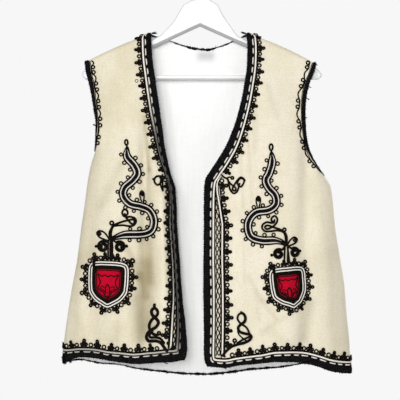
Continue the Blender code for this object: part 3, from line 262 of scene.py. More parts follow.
# lone cords of each front: width, closed, lift, places (across, height)
SPRIGS = {
    LEFT: [
        # drop at the serpentine's tip, and the drop that stands on its second bend
        (1.9, True, 0.6, [(120.4, -321), (117.3, -315.5), (118.9, -310.3), (121.8, -310.3),
                          (123.3, -315)]),
        (1.5, False, 0.4, [(96.5, -419), (94.6, -411), (94.6, -403), (98.2, -399.4), (101.5, -403.2),
                           (101, -410), (98.7, -419.5)]),
        (1.9, True, 1.0, [(96.8, -405.2), (98.2, -402), (99.8, -405.2), (98.3, -407.4)]),
        # tendril beside the last bend, in two strands
        (2.1, False, 0.3, [(145.9, -484), (147, -472), (145.2, -464), (141, -459.2), (132.5, -455),
                           (124, -452.5), (114.5, -449.2), (109.3, -451.4), (111.8, -455.3), (117.5, -454),
                           (124.3, -450), (129.3, -444.5), (130.4, -438), (126.4, -433), (121.2, -435.8),
                           (120.4, -441), (124.6, -442.6), (126, -438.5)]),
        (2.1, False, 0.9, [(144, -483), (144.5, -470), (140.6, -460.8), (130, -457.8), (118.5, -459.2),
                           (109, -458.8), (104.1, -453.4), (105.8, -447.2), (112.4, -443.6), (120, -444.8),
                           (126.4, -444)]),
        # leaf beside the joint, and its curl
        (1.9, False, 0.4, [(146.5, -484), (148.6, -480.5), (153.6, -473.4), (159.4, -469.6),
                           (164.4, -472.6), (162.7, -478.2), (156.4, -482), (148.5, -484.6)]),
        (1.7, True, 0.9, [(158.3, -474), (161, -472.6), (162.2, -475.2), (159.6, -476.6)]),
        # second cord of the stem, running out over the shield
        (1.9, False, 0.3, [(147.6, -486), (149, -495), (150.3, -505.6), (151.6, -513.5), (157, -517.6)]),
        # spray at the corner of the neck
        (2.0, False, 0.3, [(33, -361), (39, -366.6), (45.7, -370.4), (47.3, -378.4), (49.7, -387.6),
                           (54.6, -394), (59, -393.6), (62.4, -389.6), (64.3, -382.9), (62.2, -376.6),
                           (65.3, -370.2), (70.3, -368.6), (73.8, -372.8), (71.4, -379.6), (67.9, -383.2),
                           (64.9, -380.6), (66.8, -376.6)]),
        (2.0, False, 0.9, [(44, -369), (50.5, -378.1), (56, -382.1), (59.4, -386), (57.6, -390),
                           (54, -388.4), (54.4, -384.3), (57.6, -378.9), (62, -372.2), (67.1, -367.4),
                           (71.8, -368.4), (75.6, -373.6)]),
        (1.7, False, 0.4, [(44, -368), (49, -366.6), (51.6, -367.6)]),
        # rope in the hem corner: outer strand, inner strand, short strand
        (2.9, False, 0.3, [(35.5, -672), (41.5, -664), (50.8, -655.6), (61.5, -651.2), (74.2, -648),
                           (82, -643.8), (85.4, -638.4), (82, -634), (74.2, -632.6), (66, -629.4),
                           (63, -623.1), (67, -617.4), (73.6, -612.6), (75.4, -606.4), (73, -600.2),
                           (68.4, -597.2)]),
        (2.1, False, 1.0, [(60.5, -649.4), (65, -646.6), (71, -642.6), (77.4, -640), (82.4, -636.6),
                           (80.8, -629.5), (77.4, -622.8), (72, -618.6), (66.6, -615), (62, -607.6),
                           (63.6, -600.8), (68.2, -597.4)]),
        (1.5, False, 0.5, [(62.6, -626), (62.8, -630.5), (65.6, -635.6), (71, -640.6), (77.4, -645.4)]),
        (1.7, False, 0.4, [(58, -651.5), (56.4, -649.4), (56.9, -647.2)]),
        (2.3, False, 0.8, [(68.3, -598.2), (68, -594.4)])],
    RIGHT: [
        (1.9, True, 0.6, [(-127.7, -312), (-131, -307.6), (-130.4, -303.2), (-127.8, -302),
                          (-126, -306.6)]),
        (1.5, False, 0.4, [(-102.4, -409), (-105.3, -400), (-105.2, -393.4), (-102, -390), (-98.5, -394),
                           (-98.6, -402.6), (-100.2, -409.8)]),
        (1.9, True, 1.0, [(-103.4, -396), (-102, -393), (-100.4, -396), (-101.9, -398.2)]),
        (2.1, False, 0.3, [(-155.1, -474), (-156.9, -463), (-153.4, -454), (-149.7, -450.3),
                           (-135, -448.9), (-124, -450.3), (-116, -449.3), (-111.5, -443.6),
                           (-113, -437.2), (-120.8, -434.4), (-127, -434.8), (-132.6, -433),
                           (-135, -427.6), (-132.3, -422), (-127, -423.5), (-125.6, -429),
                           (-129.6, -432.4), (-131, -428)]),
        (2.1, False, 0.9, [(-153, -473), (-153.6, -462), (-149.4, -449.6), (-136.4, -443.4),
                           (-124, -440.3), (-116.4, -439), (-114, -443), (-116, -447), (-121, -444.6),
                           (-127, -437.4), (-132, -431.6)]),
        (1.9, False, 0.4, [(-156, -474.4), (-157.5, -472), (-163, -464.3), (-169.2, -459.7),
                           (-175.8, -459), (-178.8, -463.6), (-173.9, -470), (-166.1, -473.2),
                           (-157.5, -476)]),
        (1.7, True, 0.9, [(-175.4, -462.6), (-173, -461.6), (-171.8, -464.6), (-174.4, -465.8)]),
        (1.9, False, 0.3, [(-152.6, -477), (-151.2, -486), (-151.4, -497), (-147, -504.6),
                           (-143.6, -503.6)]),
        (2.2, False, 0.3, [(-62, -366.4), (-66, -365.6), (-71.4, -364.8), (-76.4, -365.6), (-79.5, -369.6),
                           (-79, -375.7), (-74.2, -380), (-69.6, -376.6), (-69, -369.6), (-71.6, -366)]),
        (1.8, False, 0.8, [(-67.2, -361), (-67, -369), (-66.2, -381), (-65.4, -390.4), (-67.6, -385.4),
                           (-70, -378)]),
        (2.4, False, 0.8, [(-79.6, -370.2), (-83, -369.6)]),
        (3.3, False, 0.3, [(-56, -664), (-61.5, -658.5), (-68, -649.6), (-74.5, -646.4), (-81.5, -646.6),
                           (-89.5, -647.4), (-93.8, -641.6), (-91.2, -634.4), (-84, -627.8),
                           (-75.6, -621.4), (-72.6, -614.2), (-76.6, -607.6), (-82.4, -602.4),
                           (-84.1, -596.8), (-82, -592), (-78.9, -590.2)]),
        (2.9, False, 1.0, [(-71, -634.6), (-78, -635.6), (-85, -630.8), (-88, -622.6), (-85.8, -614.6),
                           (-80.6, -607.4), (-75, -602.6), (-73.3, -597), (-75.4, -592), (-78.7, -590.2)]),
        (2.6, False, 0.6, [(-80.6, -626.4), (-87, -634.6), (-86.4, -640.8), (-77, -640.2), (-69, -642),
                           (-62, -650.6)]),
        (3.0, False, 0.8, [(-78.7, -590.4), (-79, -586), (-78, -582.4)])]}
# lone rings of each front: place, radius of the cord's middle, cord width
LONE_RINGS = {LEFT: [(142.6, -456.6, 2.7, 1.8), (53.4, -367.9, 2.2, 1.8), (57.2, -644.6, 2.7, 1.8),
                     (120.6, -500, 1.0, 2.0), (169.4, -493.2, 1.0, 2.0)],
              RIGHT: [(-111.7, -199.3, 2.6, 0.6), (-152.8, -445.2, 3.1, 1.9), (-71.6, -632.4, 2.3, 1.9),
                      (-55.6, -649.6, 2.3, 1.5), (-49.5, -657, 2.1, 1.5), (-180.3, -485.4, 1.0, 2.0),
                      (-127.4, -484.6, 1.0, 2.2)]}
# shields: centre, half width, tilt in degrees; outline as shares of the half width; then for each
# spiral its centre, turn, radius, number of turns and cord, and the line of each stem
SHIELD = {LEFT: (149.5, -554.5, 33.0, 5.0), RIGHT: (-159, -549.7, 36.8, -1.5)}
SHIELD_SHAPE = {
    LEFT: [(0, 1.08), (0.5, 1.07), (0.84, 0.98), (0.985, 0.74), (1, 0.3), (0.985, -0.08), (0.92, -0.42),
           (0.66, -0.86), (0.42, -1.03), (0.16, -1.15), (-0.13, -1.01), (-0.48, -0.86), (-0.87, -0.54),
           (-0.975, -0.12), (-1, 0.3), (-0.985, 0.74), (-0.84, 0.98), (-0.5, 1.07)],
    RIGHT: mirrored([(0, 1.1), (0.5, 1.08), (0.84, 0.98), (0.985, 0.74), (1, 0.3), (0.98, -0.12),
                     (0.92, -0.44), (0.66, -0.78), (0.33, -0.99), (0, -1.13)])}
# cords round a shield: inset, width, lift, whether it is cream; then the insets of the felt and of
# the line on it, and the number of trefoils round the outside
SHIELD_BANDS = [(0.7, 2.0, 0.4, False), (2.9, 2.5, 0.4, True), (5.1, 2.5, 0.6, False),
                (7.3, 2.4, 0.4, True), (9.6, 2.7, 0.5, False), (11.8, 2.9, 0.9, False),
                (14.0, 2.7, 0.7, False)]
SHIELD_FELT, SHIELD_LINE, SHIELD_MOTIFS = 13.9, 16.8, 13
# half width of the shield for which its other cords are drawn
DRAWN_HALF = 36.8
# the other cords over a shield, from its middle: across, up
CARTOUCHE = mirrored([(0, 13), (5, 15.4), (10.5, 13.4), (17.2, 16.6), (15, 10), (12.6, 4), (14.2, -2),
                      (16.6, -6.6), (11.5, -11.5), (7, -13.5), (4, -19), (0, -21.5)])
ARCH = mirrored([(-2.8, -17), (-3.4, -9.5), (-2.8, -4), (0, -0.6)], False)
SIDE_LEAF = [(4.4, -13), (8.2, -9.4), (12.4, -7.4), (9.4, -3.4), (5, -6.4)]
CORNER_BAR = [(-24.5, 41), (-25.2, 33), (-24, 25), (-21.5, 18)]
SPIRAL = {LEFT: [(132.5, -498, 1, 9.2, 2.3, 3.5), (160, -495.5, -1, 8.8, 2.3, 3.5)],
          RIGHT: [(-168, -485.5, 1, 10.2, 2.6, 3.3), (-139, -485.5, -1, 9.8, 2.6, 3.3)]}
STEM = {LEFT: [(146, -483), (145.4, -498), (145, -508), (145.6, -517.4)],
        RIGHT: [(-155, -473), (-155.8, -488), (-155.6, -497), (-155, -508)]}


# ------------------------------------------------------------------ small tools
def unit(v):
    """Vectors of length one."""
    return v / np.maximum(np.linalg.norm(v, axis=-1, keepdims=True), 1e-9)


def run_length(points):
    """Length along a line at each of its points."""
    return np.concatenate([[0], np.cumsum(np.linalg.norm(np.diff(points, axis=0), axis=1))])


def smooth_table(xs, ys, x):
    """Monotone cubic through a short table: Hermite pieces whose slopes are the harmonic mean of
    the neighbouring slopes, held flat past the ends."""
    xs = np.asarray(xs, float)
    order = np.argsort(xs)
    xs = xs[order]
    ys = np.asarray(ys, float)[order]
    h = np.diff(xs)
    d = np.diff(ys) / h
    same = d[:-1] * d[1:] > 0
    w1 = 2 * h[1:] + h[:-1]
    w2 = h[1:] + 2 * h[:-1]
    mean = (w1 + w2) / (w1 / np.where(same, d[:-1], 1.0) + w2 / np.where(same, d[1:], 1.0))
    m = np.concatenate([d[:1], np.where(same, mean, 0.0), d[-1:]])
    x = np.clip(x, xs[0], xs[-1])
    i = np.clip(np.searchsorted(xs, x) - 1, 0, len(h) - 1)
    t = (x - xs[i]) / h[i]
    return ((1 + 2 * t) * (1 - t) ** 2 * ys[i] + t * (1 - t) ** 2 * h[i] * m[i]
            + t * t * (3 - 2 * t) * ys[i + 1] + t * t * (t - 1) * h[i] * m[i + 1])


def read(table, at, column=1):
    """One column of a table, read at a value of its first column."""
    cols = np.array(table, float).T
    return smooth_table(cols[0], cols[column], at)


def smooth_path(points, step=1.3, closed=False):
    """Catmull-Rom curve through a short list of points, sampled again at an even step: between two
    points it is the cubic whose slopes there are half the chord of their neighbours."""
    p = np.asarray(points, float)
    ends = (p[-1:], p[:2]) if closed else (2 * p[:1] - p[1:2], 2 * p[-1:] - p[-2:-1])
    q = np.vstack([ends[0], p, ends[1]])
    a, b, c, d = (q[k:len(q) - 3 + k, None] for k in range(4))
    t = np.linspace(0, 1, 14, endpoint=False)[None, :, None]
    curve = 0.5 * (2 * b + (c - a) * t + (2 * a - 5 * b + 4 * c - d) * t ** 2
                   + (3 * b - a - 3 * c + d) * t ** 3)
    return even(np.vstack([curve.reshape(-1, p.shape[1]), q[-2:-1]]), step, closed)


def even(line, step, closed=False):
    """A line sampled again at an even step along its length."""
    s = run_length(line)
    count = max(int(round(s[-1] / step)), 3) + 1
    k = np.linspace(0, s[-1], count)
    k = k[:-1] if closed else k
    return np.stack([np.interp(k, s, line[:, i]) for i in range(line.shape[1])], axis=1)


def wobble(s, seed, length):
    """Uneven number between -1 and 1 along s: three sines whose lengths have no common measure."""
    return (np.sin(TAU * s / length + seed) + 0.6 * np.sin(TAU * s / (0.37 * length) + 2.3 * seed)
            + 0.4 * np.sin(TAU * s / (0.161 * length) + 4.1 * seed)) / 2


# ------------------------------------------------------------------ the form
def ridge_height(x):
    """Height of the shoulder line: straight through each shoulder's two ends, plus a low arch
    4 t (1 - t) between them."""
    lines = []
    for piece in (LEFT, RIGHT):
        (nx, nz), (tx, tz) = SHOULDER[piece]
        share = (x - nx) / (tx - nx)
        arch = np.clip(share, 0, 1)
        lines.append(nz + share * (tz - nz) + 4 * SHOULDER_RISE[piece] * arch * (1 - arch))
    return np.where(x > 0, lines[0], lines[1])


def folds_at(piece, x, z):
    """Sum of the piece's folds: each a bell across, exp(-(distance / width)^2), that rises over the
    first quarter of its length and fades over the last 40."""
    total = np.zeros_like(x)
    for part, x0, x1, z0, z1, half, deep in FOLDS:
        if part == piece:
            t = np.clip((z0 - z) / (z0 - z1), 0, 1)
            along = np.clip(t / 0.25, 0, 1)
            along = along * along * (3 - 2 * along) * np.clip((z - z1) / 40, 0, 1)
            total += deep * along * np.exp(-((x - x0 - (x1 - x0) * t) / (half * (0.8 + 0.5 * t))) ** 2)
    return total


def creases_at(piece, x, z):
    """Sum of the finer creases: a bell across a bowed line between two points, fading as a sine
    towards both of its ends."""
    total = np.zeros_like(x)
    for part, x0, z0, x1, z1, half, deep, bow in CREASES:
        if part == piece:
            length = np.hypot(x1 - x0, z1 - z0)
            ux, uz = (x1 - x0) / length, (z1 - z0) / length
            t = np.clip(((x - x0) * ux + (z - z0) * uz) / length, -0.1, 1.1)
            off = (x - x0) * uz - (z - z0) * ux - bow * np.sin(np.pi * np.clip(t, 0, 1))
            fade = np.sin(np.pi * np.clip(t, 0, 1)) ** 0.8
            total += deep * fade * np.exp(-(off / half) ** 2)
    return total


def stains_and_shade_at(piece, x, z):
    """How far the cloth's colour is darkened, 0 to 1, real dirt and painted shade alike: a base for the
    piece, plus for each stroke a bell round a straight line, exp(-(distance / half width)^2); a stroke of
    negative strength lightens, a painted highlight."""
    total = np.full_like(x, STAIN_AND_SHADE_BASE.get(piece, 0.0))
    for part, x0, z0, x1, z1, half, deep in STAINS_AND_SHADE:
        if part == piece:
            gx, gz = x1 - x0, z1 - z0
            t = np.clip(((x - x0) * gx + (z - z0) * gz) / (gx * gx + gz * gz), 0, 1)
            total += deep * np.exp(-((x - x0 - gx * t) ** 2 + (z - z0 - gz * t) ** 2) / half ** 2)
    return np.clip(total, 0, 1)


def depth(piece, x, z):
    """How far the cloth stands out from the shoulder plane: the middle depth at this height times a
    squarish half ellipse across the body, plus folds, turned down to nothing at the shoulder ridge
    by a quarter circle; the right front's edge also turns back by a table of its inset."""
    x = np.asarray(x, float)
    z = np.asarray(z, float)
    left = read(OUTER[LEFT], z) + read(ARM_SPREAD, z, 1)
    right = read(OUTER[RIGHT], z) - read(ARM_SPREAD, z, 2)
    a = np.clip(np.abs(x) / np.where(x > 0, left, -right), 0, 1)
    section = (1 - a ** SECTION_POWER) ** (1 / SECTION_POWER)
    drop = np.clip(ridge_height(x) - z, 0, RIDGE_ROUND) / RIDGE_ROUND
    turn = np.sqrt(np.clip(1 - (1 - drop) ** 2, 0, 1))
    calm = np.clip(section * 1.6, 0, 1)
    d = read(DEPTH, z, 2 if piece == BACK else 1) * section
    d = d + (folds_at(piece, x, z) + creases_at(piece, x, z)) * calm
    if piece == RIGHT:
        inset = read(INNER[RIGHT], z) - x
        d = d - read(ROLL, z) * read(ROLL_SHARE, inset / ROLL_WIDTH)
    return np.maximum(d * turn, SEAM_GAP / 2)


def skin(piece, x, z, lift=0.0):
    """Points of the cloth's face at (across, height), moved out by lift along the normal, and those
    normals: a normal is (-slope across, 1 outwards, -slope up), brought to length one."""
    e = SLOPE_STEP
    side = 1.0 if piece == BACK else -1.0
    x, z = np.broadcast_arrays(np.asarray(x, float), np.asarray(z, float))
    dx = (depth(piece, x + e, z) - depth(piece, x - e, z)) / (2 * e)
    dz = (depth(piece, x, z + e) - depth(piece, x, z - e)) / (2 * e)
    n = unit(np.stack([-dx, np.full_like(dx, side), -dz], axis=-1))
    p = np.stack([x, side * depth(piece, x, z), z], axis=-1)
    return p + n * np.asarray(lift)[..., None], n


# ------------------------------------------------------------------ meshes
class Work:
    """Gathers closed shapes into one mesh; every shape brings points, faces, a UV in metres along
    and a share across, and the number of its material."""

    def __init__(self):
        self.points, self.uv, self.faces, self.kinds, self.flat, self.shade = [], [], [], [], [], []
        self.count = 0

    def add(self, points, faces, uv, kind=0, shade=0.0):
        """Add one shape; faces is a list of arrays, and shade says how far the colour at its points is
        darkened, by real dirt and by painted shade.
        """
        for f in faces:
            self.faces.append(f + self.count)
            self.kinds.append(np.full(len(f), kind))
            self.flat.append(np.zeros(len(f), bool))
        self.points.append(points)
        self.uv.append(uv)
        self.shade.append(np.broadcast_to(shade, (len(points),)))
        self.count += len(points)

    def make(self, name, *materials):
        """The mesh object: loops and polygons are written as whole arrays."""
        points = np.vstack(self.points) * MM
        uv = np.vstack(self.uv)
        loops = np.concatenate([f.ravel() for f in self.faces])
        sizes = np.concatenate([np.full(len(f), f.shape[1]) for f in self.faces])
        starts = np.concatenate([[0], np.cumsum(sizes)[:-1]])
        me = bpy.data.meshes.new(name)
        me.vertices.add(len(points))
        me.vertices.foreach_set("co", points.astype(np.float32).ravel())
        me.loops.add(len(loops))
        me.loops.foreach_set("vertex_index", loops.astype(np.int32))
        me.polygons.add(len(sizes))
        me.polygons.foreach_set("loop_start", starts.astype(np.int32))
        me.polygons.foreach_set("material_index", np.concatenate(self.kinds).astype(np.int32))
        me.update(calc_edges=True)
        me.polygons.foreach_set("use_smooth", ~np.concatenate(self.flat))
        shade = np.concatenate(self.shade).astype(np.float32)
        me.attributes.new("shade", "FLOAT", "POINT").data.foreach_set("value", shade)
        me.uv_layers.new(name="along").data.foreach_set("uv", uv[loops].astype(np.float32).ravel())
        for m in materials:
            me.materials.append(m)
        me.validate()
        ob = bpy.data.objects.new(name, me)
        bpy.context.scene.collection.objects.link(ob)
        return ob


def piece_of(work, name, slot, nodes=(), materials=None):
    """A finished piece: the gathered mesh in its slot's finish or in materials of its own, riding on
    the one body, standing for its solids."""
    ob = work.make(name, *(materials or [FINISH[slot]]))
    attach(ob, "root")
    if nodes:
        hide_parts(*nodes)
    return ob


def grid_faces(rows, cols, around=False):
    """Quads of a grid of points; around closes the columns into a ring."""
    i = np.arange(rows * cols).reshape(rows, cols)
    a = i if around else i[:, :-1]
    b = np.roll(i, -1, axis=1) if around else i[:, 1:]
    return np.stack([a[:-1], b[:-1], b[1:], a[1:]], -1).reshape(-1, 4)


def carry(work, rings, along, kind=0, closed=False, shade=0.0):
    """Skin a run of equal section loops: quads between neighbours, and at an open run's ends a fan of
    triangles round the middle of the last loop."""
    n, k = rings.shape[:2]
    points = rings.reshape(-1, 3)
    uv = np.stack([np.repeat(along * MM, k), np.tile(np.linspace(0, 1, k), n)], 1)
    faces = [grid_faces(n, k, True)]
    first = np.arange(k)
    last = first + (n - 1) * k
    if closed:
        faces.append(np.stack([last, np.roll(last, -1), np.roll(first, -1), first], 1))
    else:
        points = np.vstack([points, rings[[0, -1]].mean(axis=1)])
        faces.append(np.stack([np.roll(first, -1), first, np.full(k, n * k)], 1))
        faces.append(np.stack([last, np.roll(last, -1), np.full(k, n * k + 1)], 1))
        uv = np.vstack([uv, [[along[0] * MM, 0.5], [along[-1] * MM, 0.5]]])
    shade = np.repeat(np.broadcast_to(shade, (n,)), k)
    work.add(points, faces, uv, kind, shade=np.pad(shade, (0, len(points) - n * k), mode="edge"))


# sections as (across, up) for a width of one: a flat braid with a groove down its middle, and a cord
BRAID = np.array([(0.5, 0.0), (0.44, 0.42), (0.24, 0.6), (0, 0.42), (-0.24, 0.6), (-0.44, 0.42),
                  (-0.5, 0.0)])
CORD = np.array([(0.5, 0.06), (0.3, 0.6), (0, 0.52), (-0.3, 0.6), (-0.5, 0.06)])


def lay(work, piece, path, width, lift=LAID, section=CORD, closed=False, kind=0, painted_shade=None):
    """A cord laid on the cloth: its section is carried along the path with its foot at lift over
    the face, across it on normal x tangent; the ends draw in over their last step. The last argument
    is a table of heights and how grey the cord is there: painted shade where the edge rolls from the light."""
    p, n = skin(piece, path[:, 0], path[:, 1], lift)
    if closed:
        t = unit(np.roll(p, -1, axis=0) - np.roll(p, 1, axis=0))
    else:
        t = unit(np.gradient(p, axis=0))
    s = unit(np.cross(n, t))
    size = np.broadcast_to(np.asarray(width, float), (len(p),)).copy()
    if not closed:
        size[[0, -1]] *= 0.55
    size = size[:, None, None]
    rings = (p[:, None] + s[:, None] * (section[None, :, :1] * size)
             + n[:, None] * (section[None, :, 1:] * size))
    carry(work, rings, run_length(p), kind, closed, 0.0 if painted_shade is None else read(painted_shade, path[:, 1]))


class Edge:
    """An edge of one piece, walked by its length on the cloth, with the way inwards from it."""

    def __init__(self, piece, line, inside, soften=9, closed=False):
        """line is the edge as seen from the front; inside is a place on the cloth's side of it; the
        way at a point is square to the line between the points soften before and after it."""
        self.piece = piece
        line = even(np.asarray(line, float), 1.0, closed)
        if closed:
            line = np.vstack([line, line[:1]])
            pad = np.vstack([line[-soften - 1:-1], line, line[1:soften + 1]])
        else:
            k = np.arange(1, soften + 1)[:, None]
            pad = np.vstack([line[:1] + (line[:1] - line[1:2]) * k[::-1], line,
                             line[-1:] + (line[-1:] - line[-2:-1]) * k])
        self.line = line
        self.s = run_length(skin(piece, line[:, 0], line[:, 1])[0])
        self.length = self.s[-1]
        t = unit(pad[2 * soften:] - pad[:-2 * soften])
        way = np.stack([-t[:, 1], t[:, 0]], axis=1)
        gap = np.asarray(inside, float) - line
        towards = (way * gap).sum(axis=1)
        near = np.argmin((gap ** 2).sum(axis=1))
        self.way = way * np.sign(towards.sum() if closed else towards[near])

    def outwards(self):
        """The same edge with the way turned round, as round a shield."""
        self.way = -self.way
        return self

    def at_height(self, z):
        """Length along the edge of its point at a height."""
        return self.s[np.argmin(np.abs(self.line[:, 1] - z))]

    def across(self, a):
        """Place across of the edge at lengths along it."""
        return np.interp(a, self.s, self.line[:, 0])

    def height(self, a):
        """Height of the edge at lengths along it."""
        return np.interp(a, self.s, self.line[:, 1])

    def spot(self, a, b):
        """Place as seen from the front of the points a along and b inwards: short steps inwards,
        each drawn in by the cloth's slope so that b is measured along the cloth."""
        a, b = np.broadcast_arrays(np.asarray(a, float), np.asarray(b, float))
        q = np.stack([self.across(a), self.height(a)], axis=-1)
        w = unit(np.stack([np.interp(a, self.s, self.way[:, i]) for i in range(2)], axis=-1))
        steps = 12
        for _ in range(steps):
            rise = (depth(self.piece, q[..., 0] + w[..., 0], q[..., 1] + w[..., 1])
                    - depth(self.piece, q[..., 0], q[..., 1]))
            q = q + w * (b / steps / np.sqrt(1 + rise ** 2))[..., None]
        return q

    def points(self, a, b, h):
        """Points a along, b inwards along the cloth and h above it; a negative b lies past the edge."""
        q = self.spot(a, np.maximum(b, 0))
        p, n = skin(self.piece, q[..., 0], q[..., 1])
        q1 = self.spot(a, np.full_like(q[..., 0], 1.2))
        q0 = self.spot(a, np.zeros_like(q[..., 0]))
        w = unit(skin(self.piece, q1[..., 0], q1[..., 1])[0] - skin(self.piece, q0[..., 0], q0[..., 1])[0])
        return p + w * np.minimum(b, 0)[..., None] + n * np.asarray(h)[..., None]


def plait(a, t, pitch, columns):
    """Height from 0 to 1 of a plait: columns of slanted stitches, each a rounded bulge; the slant
    turns over from column to column, and neighbouring columns are half a stitch apart."""
    c = np.clip(t, 0, 0.9999) * columns
    col = np.floor(c)
    f = c - col
    turn = np.where(col % 2 == 0, 1.0, -1.0)
    stitch = np.abs(np.sin(np.pi * (a / pitch + turn * (f - 0.5) * 0.7 + 0.5 * (col % 2))))
    return stitch ** 0.7 * np.sqrt(np.sin(np.pi * np.clip(f, 0.02, 0.98)))


def band_section(face, under, reach):
    """Section of a plaited band as (inwards, up): over the face, round the edge, behind it at under,
    then back along the cloth; with each point's share across the plait and how far it rises with it."""
    outer = [(face, 0.2), (face - 0.3, 0.9), (face - 1.0, BAND_TOP * 0.85), (face - 2.2, BAND_TOP),
             (face * 0.5, BAND_TOP), (1.6, BAND_TOP), (0.0, BAND_TOP * 0.98),
             (-reach * 0.62, BAND_TOP * 0.6), (-reach * 0.85, -0.2), (-reach * 0.85, -1.6),
             (-reach * 0.5, under - 0.9), (0.4, under - 1.1), (2.0, under - 0.8)]
    inner = [(2.0, under - 0.1), (-0.2, under - 0.1), (-0.2, 0.05), (face * 0.5, 0.05)]
    share = np.concatenate([np.linspace(0.02, 0.98, len(outer)), np.zeros(len(inner))])
    raised = np.concatenate([[0, 0.5], np.ones(len(outer) - 3), [0.4], np.zeros(len(inner))])
    return np.array(outer + inner), share, raised


def binding(work, edge, a0, a1, face, wall=CLOTH_WALL, seed=1.0, columns=4, reach=LIP_REACH, fullness=None,
            hairs=2.6, shift=None, rough=0.0):
    """A plaited band over a raw edge of a wall: its section with the plait's height and a slow
    unevenness added along the section's own normal; fullness is a table of shares of the length and
    sizes, hairs is the number of loose fibres per mm, and shift gives for lengths along the edge how
    much further inwards the band reaches; rough is how much its size swings from place to place."""
    loop, share, raised = band_section(face, -wall, reach)
    tangent = unit(np.roll(loop, -1, axis=0) - np.roll(loop, 1, axis=0))
    normal = np.stack([tangent[:, 1], -tangent[:, 0]], axis=1)
    if ((loop - loop.mean(axis=0)) * normal).sum() < 0:
        normal = -normal
    a = np.linspace(a0, a1, max(int(a1 - a0), 4))
    slow = 0.3 * wobble(a, seed, 47.0)[:, None] + 0.12 * wobble(a, seed + 2, 11.0)[:, None]
    r = (BAND_RELIEF * (plait(a[:, None], share[None], BAND_PITCH, columns) - 0.35) + slow) * raised[None]
    full = np.ones_like(a) if fullness is None else read(fullness, (a - a0) / (a1 - a0))
    full = full * (1 + rough * wobble(a, seed + 4, 31.0))
    b = loop[None, :, 0] + normal[None, :, 0] * r
    h = loop[None, :, 1] + normal[None, :, 1] * r
    b = -reach * 0.3 + (b + reach * 0.3) * full[:, None]
    b = b - 0.8 * np.abs(wobble(a, seed + 5, 6.1))[:, None] * (loop[None, :, 0] < -0.1)
    if shift is not None:
        b = b + shift(a)[:, None] * np.clip(loop[:, 0] / face, 0, 1)[None] * (loop[:, 1] > -0.1)[None]
    h = np.where(h > 0, h * full[:, None], h)
    rings = facing(edge.points(np.broadcast_to(a[:, None], b.shape), b, h))
    carry(work, rings, a)
    loose_fibres(work, rings, int((a1 - a0) * hairs), seed)


def spikes(work, foot, tip):
    """Three-sided spikes, all as one array: foot holds their three corners and tip their points; the
    faces are turned where the corners run the wrong way round, by the sign of the foot's normal
    times the way to the tip."""
    count = len(tip)
    points = np.stack([*foot, tip], axis=1).reshape(-1, 3)
    one = np.array([[0, 1, 3], [1, 2, 3], [2, 0, 3], [2, 1, 0]])
    up = (np.cross(foot[1] - foot[0], foot[2] - foot[0]) * (tip - foot[0])).sum(axis=1)[:, None, None]
    faces = np.where(up < 0, one[None, :, ::-1], one[None]) + 4 * np.arange(count)[:, None, None]
    uv = np.tile([[0.0, 0.0], [0.0, 0.3], [0.0, 0.6], [0.002, 0.5]], (count, 1))
    work.add(points, [faces.reshape(-1, 3)], uv)


def loose_fibres(work, rings, count, seed):
    """Fine fibres that stand off a run of section loops: spikes from points of the skin, leaning
    along and outwards by sines of their number."""
    rows, k = rings.shape[:2]
    i = np.arange(count)
    row = (i * 0.618034 * rows % (rows - 3)).astype(int) + 1
    col = (i * 0.754878 * k + 3 * np.sin(i * 1.7 + seed)).astype(int) % k
    root = rings[row, col]
    out = unit(root - rings[row].mean(axis=1))
    way = unit(rings[row + 1, col] - rings[row - 1, col])
    side = unit(np.cross(out, way))
    size = FIBRE_LONG * (0.55 + 0.45 * np.sin(i * 2.399 + seed) ** 2)[:, None]
    lean = way * np.sin(i * 4.1)[:, None] + side * np.sin(i * 5.3)[:, None]
    tip = root + out * size + lean * size * 0.8
    base = root - out * 0.3
    turns = (0.0, TAU / 3, 2 * TAU / 3)
    spikes(work, [base + (way * np.cos(t) + side * np.sin(t)) * FIBRE_THICK for t in turns], tip)


def facing(rings):
    """The same run of section loops, turned so that its skin faces outwards: the loop must run
    anticlockwise seen against the way along."""
    mid = len(rings) // 2
    way = rings[mid + 1].mean(axis=0) - rings[mid - 1].mean(axis=0)
    c = rings[mid] - rings[mid].mean(axis=0)
    turn = np.cross(c, np.roll(c, -1, axis=0)).sum(axis=0)
    return rings if turn @ way > 0 else rings[:, ::-1]


# ------------------------------------------------------------------ shader tools
class Val:
    """A shader value; Python's operators on it add Math nodes."""

    def __init__(self, shade, socket):
        self.shade, self.socket = shade, socket

    def math(self, operation, *others):
        """A Math node on this value and others."""
        return self.shade.node("ShaderNodeMath", {"operation": operation}, [self, *others])

    def __add__(self, o):
        return self.math("ADD", o)

    __radd__ = __add__

    def __mul__(self, o):
        return self.math("MULTIPLY", o)

    __rmul__ = __mul__

    def __sub__(self, o):
        return self.math("SUBTRACT", o)

    def __rsub__(self, o):
        return self.shade.node("ShaderNodeMath", {"operation": "SUBTRACT"}, [o, self])


